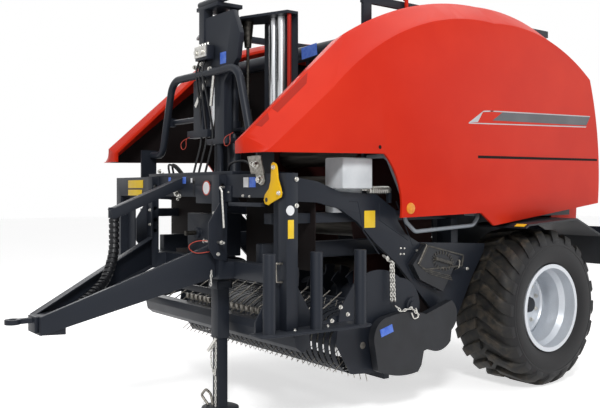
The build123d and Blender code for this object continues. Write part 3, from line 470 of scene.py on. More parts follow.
def floor():
    shape = bmesh.new()
    bmesh.ops.create_grid(shape, x_segments=1, y_segments=1, size=FLOOR_HALF)
    mesh = kept_mesh(shape, "floor")
    made, tree, shader, spot = blank("pale_floor")
    cloud = add(tree, "ShaderNodeTexNoise", {"Vector": spot},
                {"Scale": per_metre(FLOOR_CLOUD_MM), "Detail": 2.0}).outputs["Fac"]
    coloured(tree, shader, cloud, ((0.3, "#f1f1f1"), (0.7, "#f5f5f5")))
    shader.inputs["Roughness"].default_value = 0.9
    shader.inputs["Emission Color"].default_value = WHITE
    glow = add(tree, "ShaderNodeMath", {0: seen_directly(tree)}, {1: FLOOR_GLOW}, operation="MULTIPLY")
    tree.links.new(glow.outputs["Value"], shader.inputs["Emission Strength"])
    mesh.materials.append(made)
    ground = bpy.data.objects.new("floor", mesh)
    bpy.context.scene.collection.objects.link(ground)


def sky():
    world = bpy.data.worlds.new("studio")
    bpy.context.scene.world = world
    world.use_nodes = True
    tree = world.node_tree
    level = add(tree, "ShaderNodeMapRange", {"Value": seen_directly(tree)},
                {"To Min": SKY_LIGHT, "To Max": 1.0})
    background = tree.nodes["Background"]
    background.inputs["Color"].default_value = WHITE
    tree.links.new(level.outputs["Result"], background.inputs["Strength"])


floor()
sky()

# %% [markdown]
# A folded or welded sheet never has a knife edge. A bevel on the solids themselves would follow their loose
# triangles, so each plain solid is copied, its triangles are dissolved into whole faces, and its sharp edges
# get a small bevel, which catches the light. The covers also get a rough near-black finish on every face
# that looks towards the machine's middle.

# %% Softened copies of the solids
SAME_POINT = 0.00002
SAME_PLANE = radians(0.6)
LINED_AREA = 0.03
LINED_TURN = 0.2
GUARD_FINGERS_X = 2322


def softened(node_name, width, second=None, wanted=None):
    """A copy of a solid with soft edges, and a second finish on the faces that are wanted for it."""
    shape = bmesh.new()
    shape.from_mesh(frame["nodes"][node_name].data)
    bmesh.ops.remove_doubles(shape, verts=shape.verts, dist=SAME_POINT)
    bmesh.ops.dissolve_limit(shape, angle_limit=SAME_PLANE, verts=shape.verts, edges=shape.edges)
    materials = [frame["nodes"][node_name].data.materials[0]]
    if second:
        materials.append(second)
        for face in shape.faces:
            face.material_index = int(wanted(face))
    finished(shape, node_name + "_dressed", materials, BODY_OF[node_name], slots[node_name], width,
             (node_name,))


def looks_to(heart):
    """A test for the larger faces that look towards a place inside the machine."""
    def wanted(face):
        to_heart = (heart - face.calc_center_median()).normalized()
        return face.normal.dot(to_heart) > LINED_TURN and face.calc_area() > LINED_AREA
    return wanted


def is_finger(face):
    """A test for the wind guard's faces behind its front tube, where its bare fingers are."""
    return face.calc_center_median().x < place(GUARD_FINGERS_X, 0, 0).x


SOFT_EDGES = {
    # the width of each solid's soft edges in millimetres
    "front_frame": 6, "main_frame": 6, "axle": 6, "drawbar": 5, "jack_tube": 5, "jack_leg": 4,
    "side_frame_left": 3, "side_frame_right": 3, "head_frame": 4, "gearbox": 12, "tow_eye": 4,
    "oil_box": 10, "film_rack": 3}
for node_name, width in SOFT_EDGES.items():
    softened(node_name, width)
softened("cover_left", 8, rough_near_black, looks_to(place(600, 850, 1900)))
softened("cover_right", 8, rough_near_black, looks_to(place(600, -850, 1900)))
softened("rear_hood", 6, rough_near_black, looks_to(place(500, 0, 1700)))
softened("wind_guard", 5, spring, is_finger)

# %% [markdown]
# The small pieces are built from a few forms: blocks, slabs at an angle, round rods, bent rods
# whose knees are rounded, and cut sheets. They could be drawn one by one by hand, but a list of
# forms, each with its places and sizes in millimetres, is short, and one number can be changed. A
# bent rod is a row of short rods with a ball at each knee.

# %% Forms for the small pieces
def turned(where, along, out):
    """A matrix at a place, with Z pointing out and X as near to along as it can be."""
    z = Vector(out).normalized()
    x = (Vector(along) - z * z.dot(Vector(along))).normalized()
    return Matrix.Translation(where) @ Matrix((x, z.cross(x), z)).transposed().to_4x4()


def block(shape, low, high):
    """A box between two corners."""
    a = place(*low)
    b = place(*high)
    size = Matrix.Diagonal(b - a).to_4x4()
    bmesh.ops.create_cube(shape, size=1, matrix=Matrix.Translation((a + b) / 2) @ size)


def slab(shape, where, size, along=FORWARD, out=UP):
    """A box of a size, turned about its middle."""
    scale = Matrix.Diagonal([s / 1000 for s in size]).to_4x4()
    bmesh.ops.create_cube(shape, size=1, matrix=turned(place(*where), along, out) @ scale)


def rod(shape, start, end, radius, sides=12, tip=None):
    """A round rod between two places, which may taper to a tip radius."""
    a = place(*start)
    b = place(*end)
    turn = (b - a).to_track_quat("Z", "Y").to_matrix().to_4x4()
    bmesh.ops.create_cone(shape, cap_ends=True, segments=sides, radius1=radius / 1000,
                          radius2=(radius if tip is None else tip) / 1000, depth=(b - a).length,
                          matrix=Matrix.Translation((a + b) / 2) @ turn)


def eased(points, reach, steps=5):
    """Rounds each inner corner of a path, from so many millimetres before it to as many after."""
    path = [Vector(points[0])]
    for before, corner, after in zip(points, points[1:], points[2:]):
        corner = Vector(corner)
        into = Vector(before) - corner
        away = Vector(after) - corner
        start = corner + into.normalized() * min(reach, into.length / 2)
        end = corner + away.normalized() * min(reach, away.length / 2)
        for i in range(steps + 1):
            t = i / steps
            path.append(start * (1 - t) ** 2 + corner * 2 * t * (1 - t) + end * t ** 2)
    path.append(Vector(points[-1]))
    return path


def bent_rod(shape, points, radius, sides=8):
    """A round rod along a path, with a ball at each knee."""
    for start, end in zip(points, points[1:]):
        if (Vector(end) - Vector(start)).length > 0.5:
            rod(shape, start, end, radius, sides)
    for knee in points[1:-1]:
        bmesh.ops.create_uvsphere(shape, u_segments=sides, v_segments=5, radius=radius / 1000,
                                  matrix=Matrix.Translation(place(*knee)))


def cut_sheet(shape, outline, low, high):
    """A flat outline of places, given its thickness by a step from low to high, both offsets."""
    low = Vector(low)
    step = (Vector(high) - low) / 1000
    corners = [shape.verts.new(place(*(Vector(p) + low))) for p in outline]
    face = shape.faces.new(corners)
    grown = bmesh.ops.extrude_face_region(shape, geom=[face])
    moved = [g for g in grown["geom"] if isinstance(g, bmesh.types.BMVert)]
    bmesh.ops.translate(shape, verts=moved, vec=step)
    bmesh.ops.recalc_face_normals(shape, faces=shape.faces)


def spaced(points, step):
    """Places along a path at an even step, each with the direction of the path there."""
    points = [Vector(p) for p in points]
    left = step / 2
    for start, end in zip(points, points[1:]):
        length = (end - start).length
        while left <= length and length > 0:
            yield start.lerp(end, left / length), (end - start) / length
            left += step
        left -= length


def piece_of(name, material, forms, bevel=0.0, body="root", slot=None, replaced=()):
    """A piece from a list of forms: each row is a form's function with what it needs."""
    shape = bmesh.new()
    for form, *needs in forms:
        form(shape, *needs)
    finished(shape, name, [material], body, slot or SLOT_OF[material.name], bevel, replaced)


# %% [markdown]
# A bolt is a washer with a six-sided head and the end of its thread. The thread's turns could be
# modelled, but they would take thousands of faces and not show. A chain link is a wire ring, spun
# and drawn out lengthwise. Each is made once, and copies of it are stamped into larger shapes.

# %% Bolt and chain link
BOLT_STEPS = (
    # radius, from, to, as shares of the width across the flats, and the number of sides
    (0.6, 0.0, 0.12, 16), (0.48, 0.12, 0.5, 6), (0.24, 0.5, 0.66, 10))
BOLT_TAPER = 0.94
LINK_WIRE = 0.16
LINK_STRETCH = 1.75
LINK_PITCH = 1.28


def bolt_mesh():
    shape = bmesh.new()
    for radius, low, high, sides in BOLT_STEPS:
        middle = Matrix.Translation((0, 0, (low + high) / 2))
        bmesh.ops.create_cone(shape, cap_ends=True, segments=sides, radius1=radius,
                              radius2=radius * BOLT_TAPER, depth=high - low, matrix=middle)
    return kept_mesh(shape, "bolt_form")


def link_mesh():
    shape = bmesh.new()
    upright = Matrix.Translation((0.5 - LINK_WIRE, 0, 0)) @ Matrix.Rotation(pi / 2, 4, "X")
    ring = bmesh.ops.create_circle(shape, segments=6, radius=LINK_WIRE, matrix=upright)
    bmesh.ops.spin(shape, geom=ring["verts"] + shape.edges[:], cent=(0, 0, 0), axis=(0, 0, 1), angle=2 * pi,
                   steps=10, use_merge=True)
    bmesh.ops.scale(shape, vec=(LINK_STRETCH, 1, 1), verts=shape.verts)
    bmesh.ops.recalc_face_normals(shape, faces=shape.faces)
    return kept_mesh(shape, "link_form")


BOLT = bolt_mesh()
LINK = link_mesh()
print("faces of a bolt:", len(BOLT.polygons), "and of a link:", len(LINK.polygons))


def stamp(shape, mesh, matrix):
    """Adds a copy of a mesh to a shape, put in its place by a matrix."""
    moved = mesh.copy()
    moved.transform(matrix)
    shape.from_mesh(moved)
    bpy.data.meshes.remove(moved)


def bolt(shape, where, out, across):
    """A bolt of a width across its flats."""
    side = UP if abs(Vector(out).normalized().z) < 0.9 else FORWARD
    stamp(shape, BOLT, turned(place(*where), side, out) @ Matrix.Scale(across / 1000, 4))


def chain(shape, points, link_mm, side=OUT_LEFT):
    """Links along a path, each turned a quarter from the last."""
    for i, (where, along) in enumerate(spaced(points, link_mm * LINK_PITCH)):
        out = Vector(side) if i % 2 else along.cross(Vector(side))
        stamp(shape, LINK, turned(place(*where), along, out) @ Matrix.Scale(link_mm / 1000, 4))


# %% [markdown]
# The tyre is a closed profile spun about the axle's line. Its tread is two rows of slanted lugs
# that meet in the middle, staggered by half a pitch. They could be a bump in the rubber, but lugs
# show at the outline and throw shadows. A lug is a cube cut into short lengths, and each of its
# points is then laid round the tyre, so the lug bends with it and falls away at the shoulder.

# %% Tyres
TYRE_PROFILE = (
    # distance from the tyre's middle and radius in metres, from the tread's middle to the bead
    (0, 0.616), (0.10, 0.615), (0.18, 0.611), (0.235, 0.603), (0.268, 0.585), (0.287, 0.555), (0.2965, 0.53),
    (0.299, 0.525), (0.296, 0.515), (0.300, 0.507), (0.291, 0.42), (0.275, 0.39), (0.2577, 0.368))
TREAD_POINTS = 7
TREAD_TOP = 0.650
SPIN_STEPS = 96
LUGS = 20
LUG_CUTS = 6
LUG_WIDTH = 0.112
LUG_ROOT_SHARE = 0.86
LUG_FLARE = 0.2
LUG_TOP_SHARE = 0.84
LUG_SWEEP = 0.27
LUG_CURVE = 0.4
LUG_IN_Y = 0.012
LUG_OUT_Y = 0.294
LUG_SINK = 0.014
LUG_EDGE_MM = 6
SHOULDER_FROM = 0.7
SHOULDER_DROP = 0.075


def tread_radius(y):
    """The tyre's own radius under a lug."""
    for (y0, r0), (y1, r1) in zip(TYRE_PROFILE, TYRE_PROFILE[1:TREAD_POINTS]):
        if y <= y1:
            return r0 + (r1 - r0) * (y - y0) / (y1 - y0)
    return r1


def add_lug(shape, turn, side):
    """A lug at a turn round the tyre. Its length, t, runs from 0 in the middle to 1 at the shoulder."""
    lug = bmesh.new()
    bmesh.ops.create_cube(lug, size=1)
    long_edges = [e for e in lug.edges if abs(e.verts[0].co.y - e.verts[1].co.y) > 0.5]
    bmesh.ops.subdivide_edges(lug, edges=long_edges, cuts=LUG_CUTS, use_grid_fill=True)
    for vert in lug.verts:
        t = vert.co.y + 0.5
        top = vert.co.z > 0
        y = LUG_IN_Y + t * (LUG_OUT_Y - LUG_IN_Y)
        width = LUG_WIDTH * (LUG_TOP_SHARE if top else 1.0) * (LUG_ROOT_SHARE + LUG_FLARE * t)
        fall = max(0.0, (t - SHOULDER_FROM) / (1 - SHOULDER_FROM))
        radius = TREAD_TOP - SHOULDER_DROP * fall ** 2 if top else tread_radius(y) - LUG_SINK
        lead = LUG_SWEEP * ((1 - LUG_CURVE) * t + LUG_CURVE * t * t)
        angle = turn + lead + vert.co.x * width / TREAD_TOP
        vert.co = (radius * sin(angle), side * y, radius * cos(angle))
    bmesh.ops.recalc_face_normals(lug, faces=lug.faces)
    soften_edges(lug, LUG_EDGE_MM)
    mesh = kept_mesh(lug, "lug_form")
    shape.from_mesh(mesh)
    bpy.data.meshes.remove(mesh)


def tyre(side_name, side):
    shape = bmesh.new()
    ring = [(-y, r) for y, r in TYRE_PROFILE[:0:-1]] + list(TYRE_PROFILE)
    verts = [shape.verts.new((0, y, r)) for y, r in ring]
    edges = [shape.edges.new(pair) for pair in zip(verts, verts[1:] + verts[:1])]
    bmesh.ops.spin(shape, geom=verts + edges, cent=(0, 0, 0), axis=(0, 1, 0), angle=2 * pi, steps=SPIN_STEPS,
                   use_merge=True)
    bmesh.ops.recalc_face_normals(shape, faces=shape.faces)
    for i in range(LUGS):
        add_lug(shape, 2 * pi * i / LUGS, side)
        add_lug(shape, 2 * pi * (i + 0.5) / LUGS, -side)
    bmesh.ops.translate(shape, verts=shape.verts, vec=place(0, side * WHEEL_Y, WHEEL_Z))
    finished(shape, "tyre_tread_" + side_name, [rubber], "wheel_" + side_name, "tyre_rubber",
             replaced=("tyre_" + side_name,))


tyre("left", 1)
tyre("right", -1)

# %% [markdown]
# Each wheel is held by a ring of studs on its disc. The valve stands near the rim, and a dark cap
# closes the hub. Each stud could be placed by hand. The ring is worked out from its radius instead,
# so the number of studs is one value.

# %% Wheel studs and hub caps
DISC_Y = 1130
STUDS = 10
STUD_RING_R = 178
STUD_ACROSS = 34
STUD_SINK = 14
VALVE_Z = WHEEL_Z + 285
VALVE_R = 6
HUB_CAP_R = 72
HUB_CAP_TIP_R = 60


def wheel_studs(side_name, side):
    body = "wheel_" + side_name
    studs = []
    for i in range(STUDS):
        angle = 2 * pi * i / STUDS
        where = (STUD_RING_R * sin(angle), side * (DISC_Y - STUD_SINK), WHEEL_Z + STUD_RING_R * cos(angle))
        studs.append((bolt, where, (0, side, 0), STUD_ACROSS))
    studs.append((rod, (0, side * (DISC_Y - 4), VALVE_Z), (0, side * (DISC_Y + 46), VALVE_Z), VALVE_R))
    piece_of("wheel_studs_" + side_name, zinc, studs, body=body)
    cap = ((rod, (0, side * (DISC_Y + 20), WHEEL_Z), (0, side * (DISC_Y + 62), WHEEL_Z),
            HUB_CAP_R, 32, HUB_CAP_TIP_R),)
    piece_of("hub_cap_" + side_name, black_coat, cap, 5, body=body)


wheel_studs("left", 1)
wheel_studs("right", -1)

# %% [markdown]
# The covers carry little: a recessed grip on the slanted flange, a stripe and a groove along the side, and a
# round reflector in the lower front corner. They could be masks in the red material, but thin sheets, just
# proud of the surface, have crisp edges and are pieces of their own. The recess is not sunk: a sheet of
# darker red stands for it as painted shade. The groove is a near-black strip.

# %% On the covers
COVER_Y = 1250
FLANGE_FOLD = (Vector((2844, 1060, 1985)), Vector((1990, 1060, 2745)))
FLANGE_SIDE = (Vector((2760, 1250, 1895)), Vector((2245, 1250, 2318)))
FLANGE_RECESSES = (
    # from and to along the flange, from and to across it, as shares
    (0.10, 0.22, 0.06, 0.26), (0.26, 0.62, 0.06, 0.3))
SILVER_STRIPES = (
    # outlines in X and Z
    ((868, 2158), (689, 2262), (560, 2270), (575, 2262), (700, 2250), (760, 2168)),
    ((868, 2158), (868, 2150), (-727, 2197), (-735, 2207)),
    ((620, 2268), (-794, 2304), (-794, 2296), (600, 2260)))
DARK_BAND = ((581, 2190), (455, 2262), (-794, 2296), (-735, 2216))
SIDE_GROOVE = ((758, 1882), (758, 1904), (-907, 1918), (-907, 1898))
LOCK_X, LOCK_Z, LOCK_R = 1813, 1935, 14
REFLECTOR_X, REFLECTOR_Z, REFLECTOR_R = 1507, 1497, 44


def on_flange(u, v, side, lift):
    """A place on the cover's slanted flange: u along it, v across it."""
    fold = FLANGE_FOLD[0].lerp(FLANGE_FOLD[1], u)
    spot = fold.lerp(FLANGE_SIDE[0].lerp(FLANGE_SIDE[1], u), v)
    out = (FLANGE_FOLD[1] - FLANGE_FOLD[0]).cross(FLANGE_SIDE[0] - FLANGE_FOLD[0]).normalized()
    out = out if out.x > 0 else -out
    spot = spot + out * lift
    return (spot.x, side * spot.y, spot.z)


def on_side(outline, side, proud):
    """A thin sheet on the cover's flat side, sunk by 2 mm and standing proud a little."""
    return (cut_sheet, [(x, side * COVER_Y, z) for x, z in outline], (0, -side * 2, 0), (0, side * proud, 0))


def recess(u0, u1, v0, v1, side):
    """A darker red sheet of painted shade for a recess in the flange, narrower at its outer end."""
    corners = [on_flange(u, v, side, -3) for u, v in ((u0, v0), (u1, v0), (u1 - 0.02, v1), (u0 + 0.02, v1))]
    lift = Vector(on_flange(u0, v0, side, 1.2)) - Vector(corners[0])
    return (cut_sheet, corners, (0, 0, 0), lift)


def cover_trim(side_name, side):
    inside = side * (COVER_Y - 4)
    lock = (rod, (LOCK_X, inside, LOCK_Z), (LOCK_X, side * (COVER_Y + 1.5), LOCK_Z), LOCK_R, 16)
    lens = (rod, (REFLECTOR_X, inside, REFLECTOR_Z), (REFLECTOR_X, side * (COVER_Y + 7), REFLECTOR_Z),
            REFLECTOR_R, 32, REFLECTOR_R - 4)
    trims = (
        # name, finish, forms, soft edges, slot
        ("cover_stripe_", silver_stripe, [on_side(line, side, 1.0) for line in SILVER_STRIPES], 0, None),
        ("cover_band_", band_vinyl, [on_side(DARK_BAND, side, 0.8)], 0, None),
        ("cover_recess_", recess_shade_gel, [recess(*row, side) for row in FLANGE_RECESSES], 0, None),
        ("cover_groove_", rough_near_black, [on_side(SIDE_GROOVE, side, 1.2), lock], 0, "red_cover"),
        ("round_reflector_", amber_lens, [lens], 2, None))
    for name, material, forms, bevel, slot in trims:
        piece_of(name + side_name, material, forms, bevel, "cover_" + side_name, slot)


cover_trim("left", 1)
cover_trim("right", -1)

# %% [markdown]
# Bolts and nuts are zinc plated and catch the sun as small bright dots, so their places matter more
# than their threads. They could be scattered by a rule, but the eye knows a real pattern, so each
# place is listed. Those on the side plates are there on both sides.

# %% Bolts
BEAM_X = 2665
RAIL_X = 2725
SIDE_BOLTS = (
    # X, Y, Z, width across the flats
    (2587, 1295, 1700, 26), (2587, 1295, 1530, 26), (1286, 1090, 1169, 24), (700, 1090, 994, 24),
    (1451, 1090, 1194, 13), (1413, 1090, 1192, 13), (1455, 1090, 1151, 13), (1418, 1090, 1149, 13))
FRONT_BOLTS = (
    (BEAM_X, 790, 1592, 18), (BEAM_X, 870, 1588, 15), (BEAM_X + 12, 435, 1621, 14),
    (BEAM_X + 12, 620, 1616, 14), (RAIL_X, 506, 1468, 22), (RAIL_X, 506, 1351, 22),
    (RAIL_X, -506, 1468, 22), (RAIL_X, -506, 1351, 22))
RACK_BOLTS = ((2597, 1290, 730, 22), (2330, 1300, 730, 18))

frame_bolts = [(bolt, (x, side * y, z), (0, side, 0), across)
               for x, y, z, across in SIDE_BOLTS for side in (1, -1)]
frame_bolts += [(bolt, (x, y, z), FORWARD, across) for x, y, z, across in FRONT_BOLTS]
frame_bolts += [(bolt, (x, y, z), UP, across) for x, y, z, across in RACK_BOLTS]
piece_of("frame_bolts", zinc, frame_bolts)

# %% [markdown]
# The front beam carries blank plates. Two more yellow ones are on the rack's post and the left side
# plate. Real vinyl is some tenths of a millimetre thick. It is drawn thicker here, because two
# surfaces that close would flicker through each other.

# %% Blank plates
def on_beam(y0, z0, y1, z1):
    """A plate on the front beam's face, between two corners in Y and Z."""
    return (block, (BEAM_X - 1, y0, z0), (BEAM_X + 2, y1, z1))


WHITE_PLATES = (on_beam(795, 1650, 857, 1718), on_beam(60, 1688, 84, 1722))
BLUE_PLATES = (on_beam(866, 1650, 944, 1718), on_beam(-300, 1700, -262, 1732), on_beam(-66, 1680, -16, 1732))
YELLOW_PLATES = (
    (block, (2608, 1294, 1320), (2655, 1297, 1440)), (block, (1713, 1089, 1357), (1818, 1092.5, 1481)),
    on_beam(-1050, 1648, -760, 1716), on_beam(-1050, 1584, -780, 1634))

piece_of("white_plates", white_plate, WHITE_PLATES, 0.6)
piece_of("blue_plates", blue_plate, BLUE_PLATES, 0.6)
piece_of("yellow_plates", yellow_plate, YELLOW_PLATES, 0.6)

# %% [markdown]
# A link plate hangs under the left cover, and the yellow lever locks it. Each is cut from sheet
# steel, with bolts through it, so each is an outline that is given its thickness. The beam also has
# a keyhole and a round white plate with a red rim. A keyhole could be cut through the beam, but it
# is dark inside, and a thin dark form shows the same.

# %% Links, lever and round plates on the front
LINK_OUTLINE = ((903, 1862), (1013, 1862), (1062, 1692), (1050, 1668), (1013, 1662), (971, 1688))
LINK_GAP_Y = 96
LEVER_OUTLINE = ((1157, 1800), (1175, 1812), (1205, 1800), (1218, 1780), (1232, 1700), (1262, 1640),
                 (1271, 1610), (1262, 1585), (1150, 1545), (1120, 1532), (1085, 1540), (1072, 1565),
                 (1084, 1600), (1130, 1640), (1150, 1690), (1155, 1750))
LEVER_PINS = ((1186, 1778), (1245, 1612))
LINK_BOLTS = (
    # Y, Z, distance before the beam's face, width across the flats
    (962, 1800, 9, 44), (1013, 1700, 9, 50), (1186, 1778, 24, 26), (1245, 1612, 24, 26),
    (868, 1812, -21, 26), (920, 1700, -21, 30))
KEYHOLE_Y = 107
ROUND_Y, ROUND_Z = 307, 1646
OVAL_X, OVAL_Z = 2636, 1500


def beam_sheet(outline, back, front, shift_y=0):
    """A sheet cut along an outline in Y and Z, from back to front of the beam's face."""
    return (cut_sheet, [(BEAM_X, y - shift_y, z) for y, z in outline], (back, 0, 0), (front, 0, 0))


def beam_disc(y, z, back, front, radius, sides):
    """A round disc on the beam's face."""
    return (rod, (BEAM_X + back, y, z), (BEAM_X + front, y, z), radius, sides)


links = (beam_sheet(LINK_OUTLINE, 0, 9), beam_sheet(LINK_OUTLINE, -30, -21, LINK_GAP_Y))
piece_of("cover_link_plate", spring, links, 1.5)
piece_of("cover_lock_lever", yellow_coat, (beam_sheet(LEVER_OUTLINE, 14, 24),), 1.5)
link_pins = [(bolt, (BEAM_X + x, y, z), FORWARD, across) for y, z, x, across in LINK_BOLTS]
link_pins += [beam_disc(y, z, 0, 16, 9, 12) for y, z in LEVER_PINS]
piece_of("link_pins", zinc, link_pins)
openings = (beam_disc(1104, 1567, 12, 24.6, 15, 20), beam_disc(KEYHOLE_Y, 1705, -1, 0.8, 26, 24),
            (block, (BEAM_X - 1, KEYHOLE_Y - 10, 1588), (BEAM_X + 0.8, KEYHOLE_Y + 10, 1700)))
piece_of("dark_openings", hose_skin, openings, slot="black_paint")
piece_of("round_plate", white_plate, (beam_disc(ROUND_Y, ROUND_Z, 4, 10.6, 46, 40),))
piece_of("round_plate_rim", wire_red, (beam_disc(ROUND_Y, ROUND_Z, 4, 9.8, 54, 40),))
oval = (rod, (OVAL_X, 1293, OVAL_Z), (OVAL_X, 1297, OVAL_Z), 32, 32)
piece_of("oval_plate", white_plate, (oval,))

# %% [markdown]
# The drawbar's root is bolted to a rail with holes, so its height can be set. A clamp plate, a thin
# crank rod, a pin with its looped wire and a short chain are on the left one. Rods and wire are
# bent rods, because a path of a few places is easy to fit to the photograph.

# %% Clamp, crank rod and pin
PIN_X = 2742
PIN_Z = 1264
CRANK_PATH = ((2700, 603, 1651), (PIN_X, 606, 1651), (PIN_X, 637, 1625), (PIN_X, 665, 1368))
WIRE_PATH = ((PIN_X, 560, PIN_Z), (2850, 490, 1280), (2925, 462, 1236), (2870, 482, 1180), (2760, 520, 1196))
RACK_ROD_PATHS = (((2700, 1210, 1160), (2718, 1250, 1162), (2597, 1250, 1156)),
                  ((2718, 1250, 1162), (2714, 1250, 1044), (2617, 1250, 1037)))
CLAMP_FORMS = (
    (block, (BEAM_X - 1, 400, 1548), (BEAM_X + 12, 648, 1662)),
    (block, (BEAM_X - 1, 150, 1532), (BEAM_X + 8, 400, 1662)),
    (block, (BEAM_X - 1, 660, 1520), (BEAM_X + 40, 1060, 1546)),
    (rod, (2560, 1132, 1100), (2560, 1132, 1400), 30, 20),
    (rod, (2560, 1132, 1400), (2560, 1132, 1530), 38, 20))
CRANK_FORMS = (
    (bent_rod, eased(CRANK_PATH, 14), 8),
    (bolt, (RAIL_X, 540, 1350), FORWARD, 24),
    (rod, (PIN_X, 400, PIN_Z), (PIN_X, 664, PIN_Z), 8, 14),
    (rod, (PIN_X, 392, PIN_Z), (PIN_X, 404, PIN_Z), 15, 14),
    (rod, (PIN_X, 622, PIN_Z), (PIN_X, 636, PIN_Z), 15, 14),
    (bolt, (2740, 582, 1180), OUT_LEFT, 24),
    (chain, ((2764, 532, 1066), (2768, 530, 950)), 22))

piece_of("clamp_plate", black_coat, CLAMP_FORMS, 3)
piece_of("crank_rod_and_pins", zinc, CRANK_FORMS)
piece_of("pin_wire", wire_red, ((bent_rod, eased(WIRE_PATH, 60, 8), 3, 6),))
rack_rods = [(bent_rod, eased(path, 12), 7) for path in RACK_ROD_PATHS]
piece_of("rack_rods", spring, rack_rods)

# %% [markdown]
# A channel of folded sheet holds the thick hose out in front, open at its underside. The hose is
# held at both ends. A spiral guard is wound round it. It could be one long helix, but slanted
# collars at an even step look the same from outside and close upon themselves.

# %% Hose arm and thick hose
ARM_ROOT = Vector((2650, -112, 1697))
ARM_END = Vector((3150, -250, 1465))
ARM_WIDTH = 96
ARM_DEPTH = 72
ARM_SHEET = 8
ARM_DROP = 6
ARM_OVERHANG = 40
HOSE_ROUTE = ((3150, -250, 1420), (3150, -250, 1150), (3230, -215, 960), (3400, -130, 850), (3590, -50, 765),
              (3669, -50, 765))
HOSE_R = 31
COLLAR_R = 39.5
COLLAR_STEP = 40
COLLAR_LENGTH = 26
COLLAR_LEAN = Vector((0.0, 0.28, 0.1))


def hose_arm():
    along = (ARM_END - ARM_ROOT).normalized()
    over = along.cross(Vector(OUT_LEFT)).normalized()
    over = over if over.z > 0 else -over
    side = along.cross(over)
    length = (ARM_END - ARM_ROOT).length + ARM_OVERHANG
    middle = (ARM_ROOT + ARM_END) / 2 + along * ARM_OVERHANG / 4
    top = middle + over * (ARM_DEPTH / 2 - ARM_DROP)
    forms = [(slab, top, (length, ARM_WIDTH, ARM_SHEET), along, over)]
    for half in (-1, 1):
        web = middle + side * half * (ARM_WIDTH - ARM_SHEET) / 2 - over * ARM_DROP
        forms.append((slab, web, (length, ARM_SHEET, ARM_DEPTH), along, over))
    forms.append((rod, (3150, -250, 1420.4), (3150, -250, 1500), 44, 24))
    piece_of("hose_arm_channel", black_coat, forms, 3, replaced=("hose_arm",))


def thick_hose():
    route = eased(HOSE_ROUTE, 80, 8)
    forms = [(bent_rod, route, HOSE_R, 16)]
    for where, along in spaced(route, COLLAR_STEP):
        half = (along + COLLAR_LEAN).normalized() * COLLAR_LENGTH / 2
        forms.append((rod, where - half, where + half, COLLAR_R, 20))
    piece_of("thick_hose_wrap", hose_skin, forms, replaced=("hose",))


hose_arm()
thick_hose()

# %% [markdown]
# Thinner hoses run along the arm, across the right bay, down the head frame and over the deck, each
# one fixed at its ends. Curves could make them, but they would have to be turned to meshes. Bent
# rods are meshes from the start. Couplings on the beam's face join them.

# %% Thin hoses
ARM_HOSES = ((0, -22), (24, -26), (-24, -30))
BAY_HOSES = 7
HEAD_HOSES_Y = (-60, -20, 30)
DECK_HOSES_Y = (-330, -370, 340)
COUPLINGS = ((-151, 1600, 40), (-110, 1586, 30), (-186, 1616, 26), (-140, 1560, 22))


def along_arm(dy, dz):
    path = ((2560, -80 + dy, 1748), (2690, -118 + dy, 1700 + dz), (3060, -225 + dy, 1520 + dz),
            (3130, -244 + dy * 0.5, 1470 + dz))
    return (bent_rod, eased(path, 60), 9, 8)


def across_bay(i):
    sag = 60 + 34 * i
    path = ((2300, -160 - 4 * i, 1400 - 20 * i), (2270, -420, 1390 - sag), (2150, -760, 1420 - sag),
            (1990, -1040, 1400 - 12 * i))
    return (bent_rod, eased(path, 160, 8), 11, 8)


def down_head(y):
    path = ((2520, y, 2640), (2550, y - 10, 2560), (2500, y * 1.5, 2310), (2460, y * 2, 2040),
            (2540, y * 2, 1760))
    return (bent_rod, eased(path, 90), 9, 8)


def over_deck(y):
    path = ((2500, y, 1745), (2540, y * 1.2, 1830), (2500, y * 1.7, 1850), (2440, y * 1.9, 1745))
    return (bent_rod, eased(path, 70), 9, 8)


thin_hoses = [along_arm(dy, dz) for dy, dz in ARM_HOSES]
thin_hoses += [across_bay(i) for i in range(BAY_HOSES)]
thin_hoses += [down_head(y) for y in HEAD_HOSES_Y]
thin_hoses += [over_deck(y) for y in DECK_HOSES_Y]
piece_of("thin_hoses", hose_skin, thin_hoses)
couplings = [(bolt, (BEAM_X + 1, y, z), FORWARD, across) for y, z, across in COUPLINGS]
piece_of("hose_couplings", zinc, couplings)

# %% [markdown]
# The box of the wheel chocks hangs aslant on the left side plate. It has ribs along its edges, an
# oval recess ringed by short ribs, and a grip across it. The oval could be cut into the box, but
# its ring of ribs is what shows. Two bent wires hold the box, and a grey bar props it.

# %% Chock box
CHOCK_Y = 1150
CHOCK_ALONG = Vector((-0.97, 0, -0.24))
CHOCK_ACROSS = Vector((-0.24, 0, 0.97))
CHOCK_MIDDLE = Vector((1054, CHOCK_Y, 1082))
CHOCK_EDGES = ((1221, 1205), (815, 1112), (838, 1030), (1252, 1027), (1318, 1066), (1221, 1205))
RECESS_RIBS = 20
RECESS_LENGTH = 108
RECESS_HEIGHT = 62
LOW_RIBS = (0, 26, 52)
CHOCK_WIRES = (
    # path, reach of its bends, radius
    (((880, 1100, 1075), (866, 1158, 1080), (876, 1158, 1020), (872, 1100, 1000)), 20, 6),
    (((1236, 1094, 1222), (1240, 1160, 1216), (1330, 1160, 1078), (1326, 1094, 1060)), 16, 5))


def recess_rib(i):
    """One of the short ribs round the recess, laid along the oval."""
    turn = 2 * pi * (i + 0.5) / RECESS_RIBS
    spot = CHOCK_MIDDLE + CHOCK_ALONG * RECESS_LENGTH * cos(turn) + CHOCK_ACROSS * RECESS_HEIGHT * sin(turn)
    lie = -CHOCK_ALONG * sin(turn) * RECESS_LENGTH + CHOCK_ACROSS * cos(turn) * RECESS_HEIGHT
    return (slab, spot, (10, 26, 14), lie, OUT_LEFT)


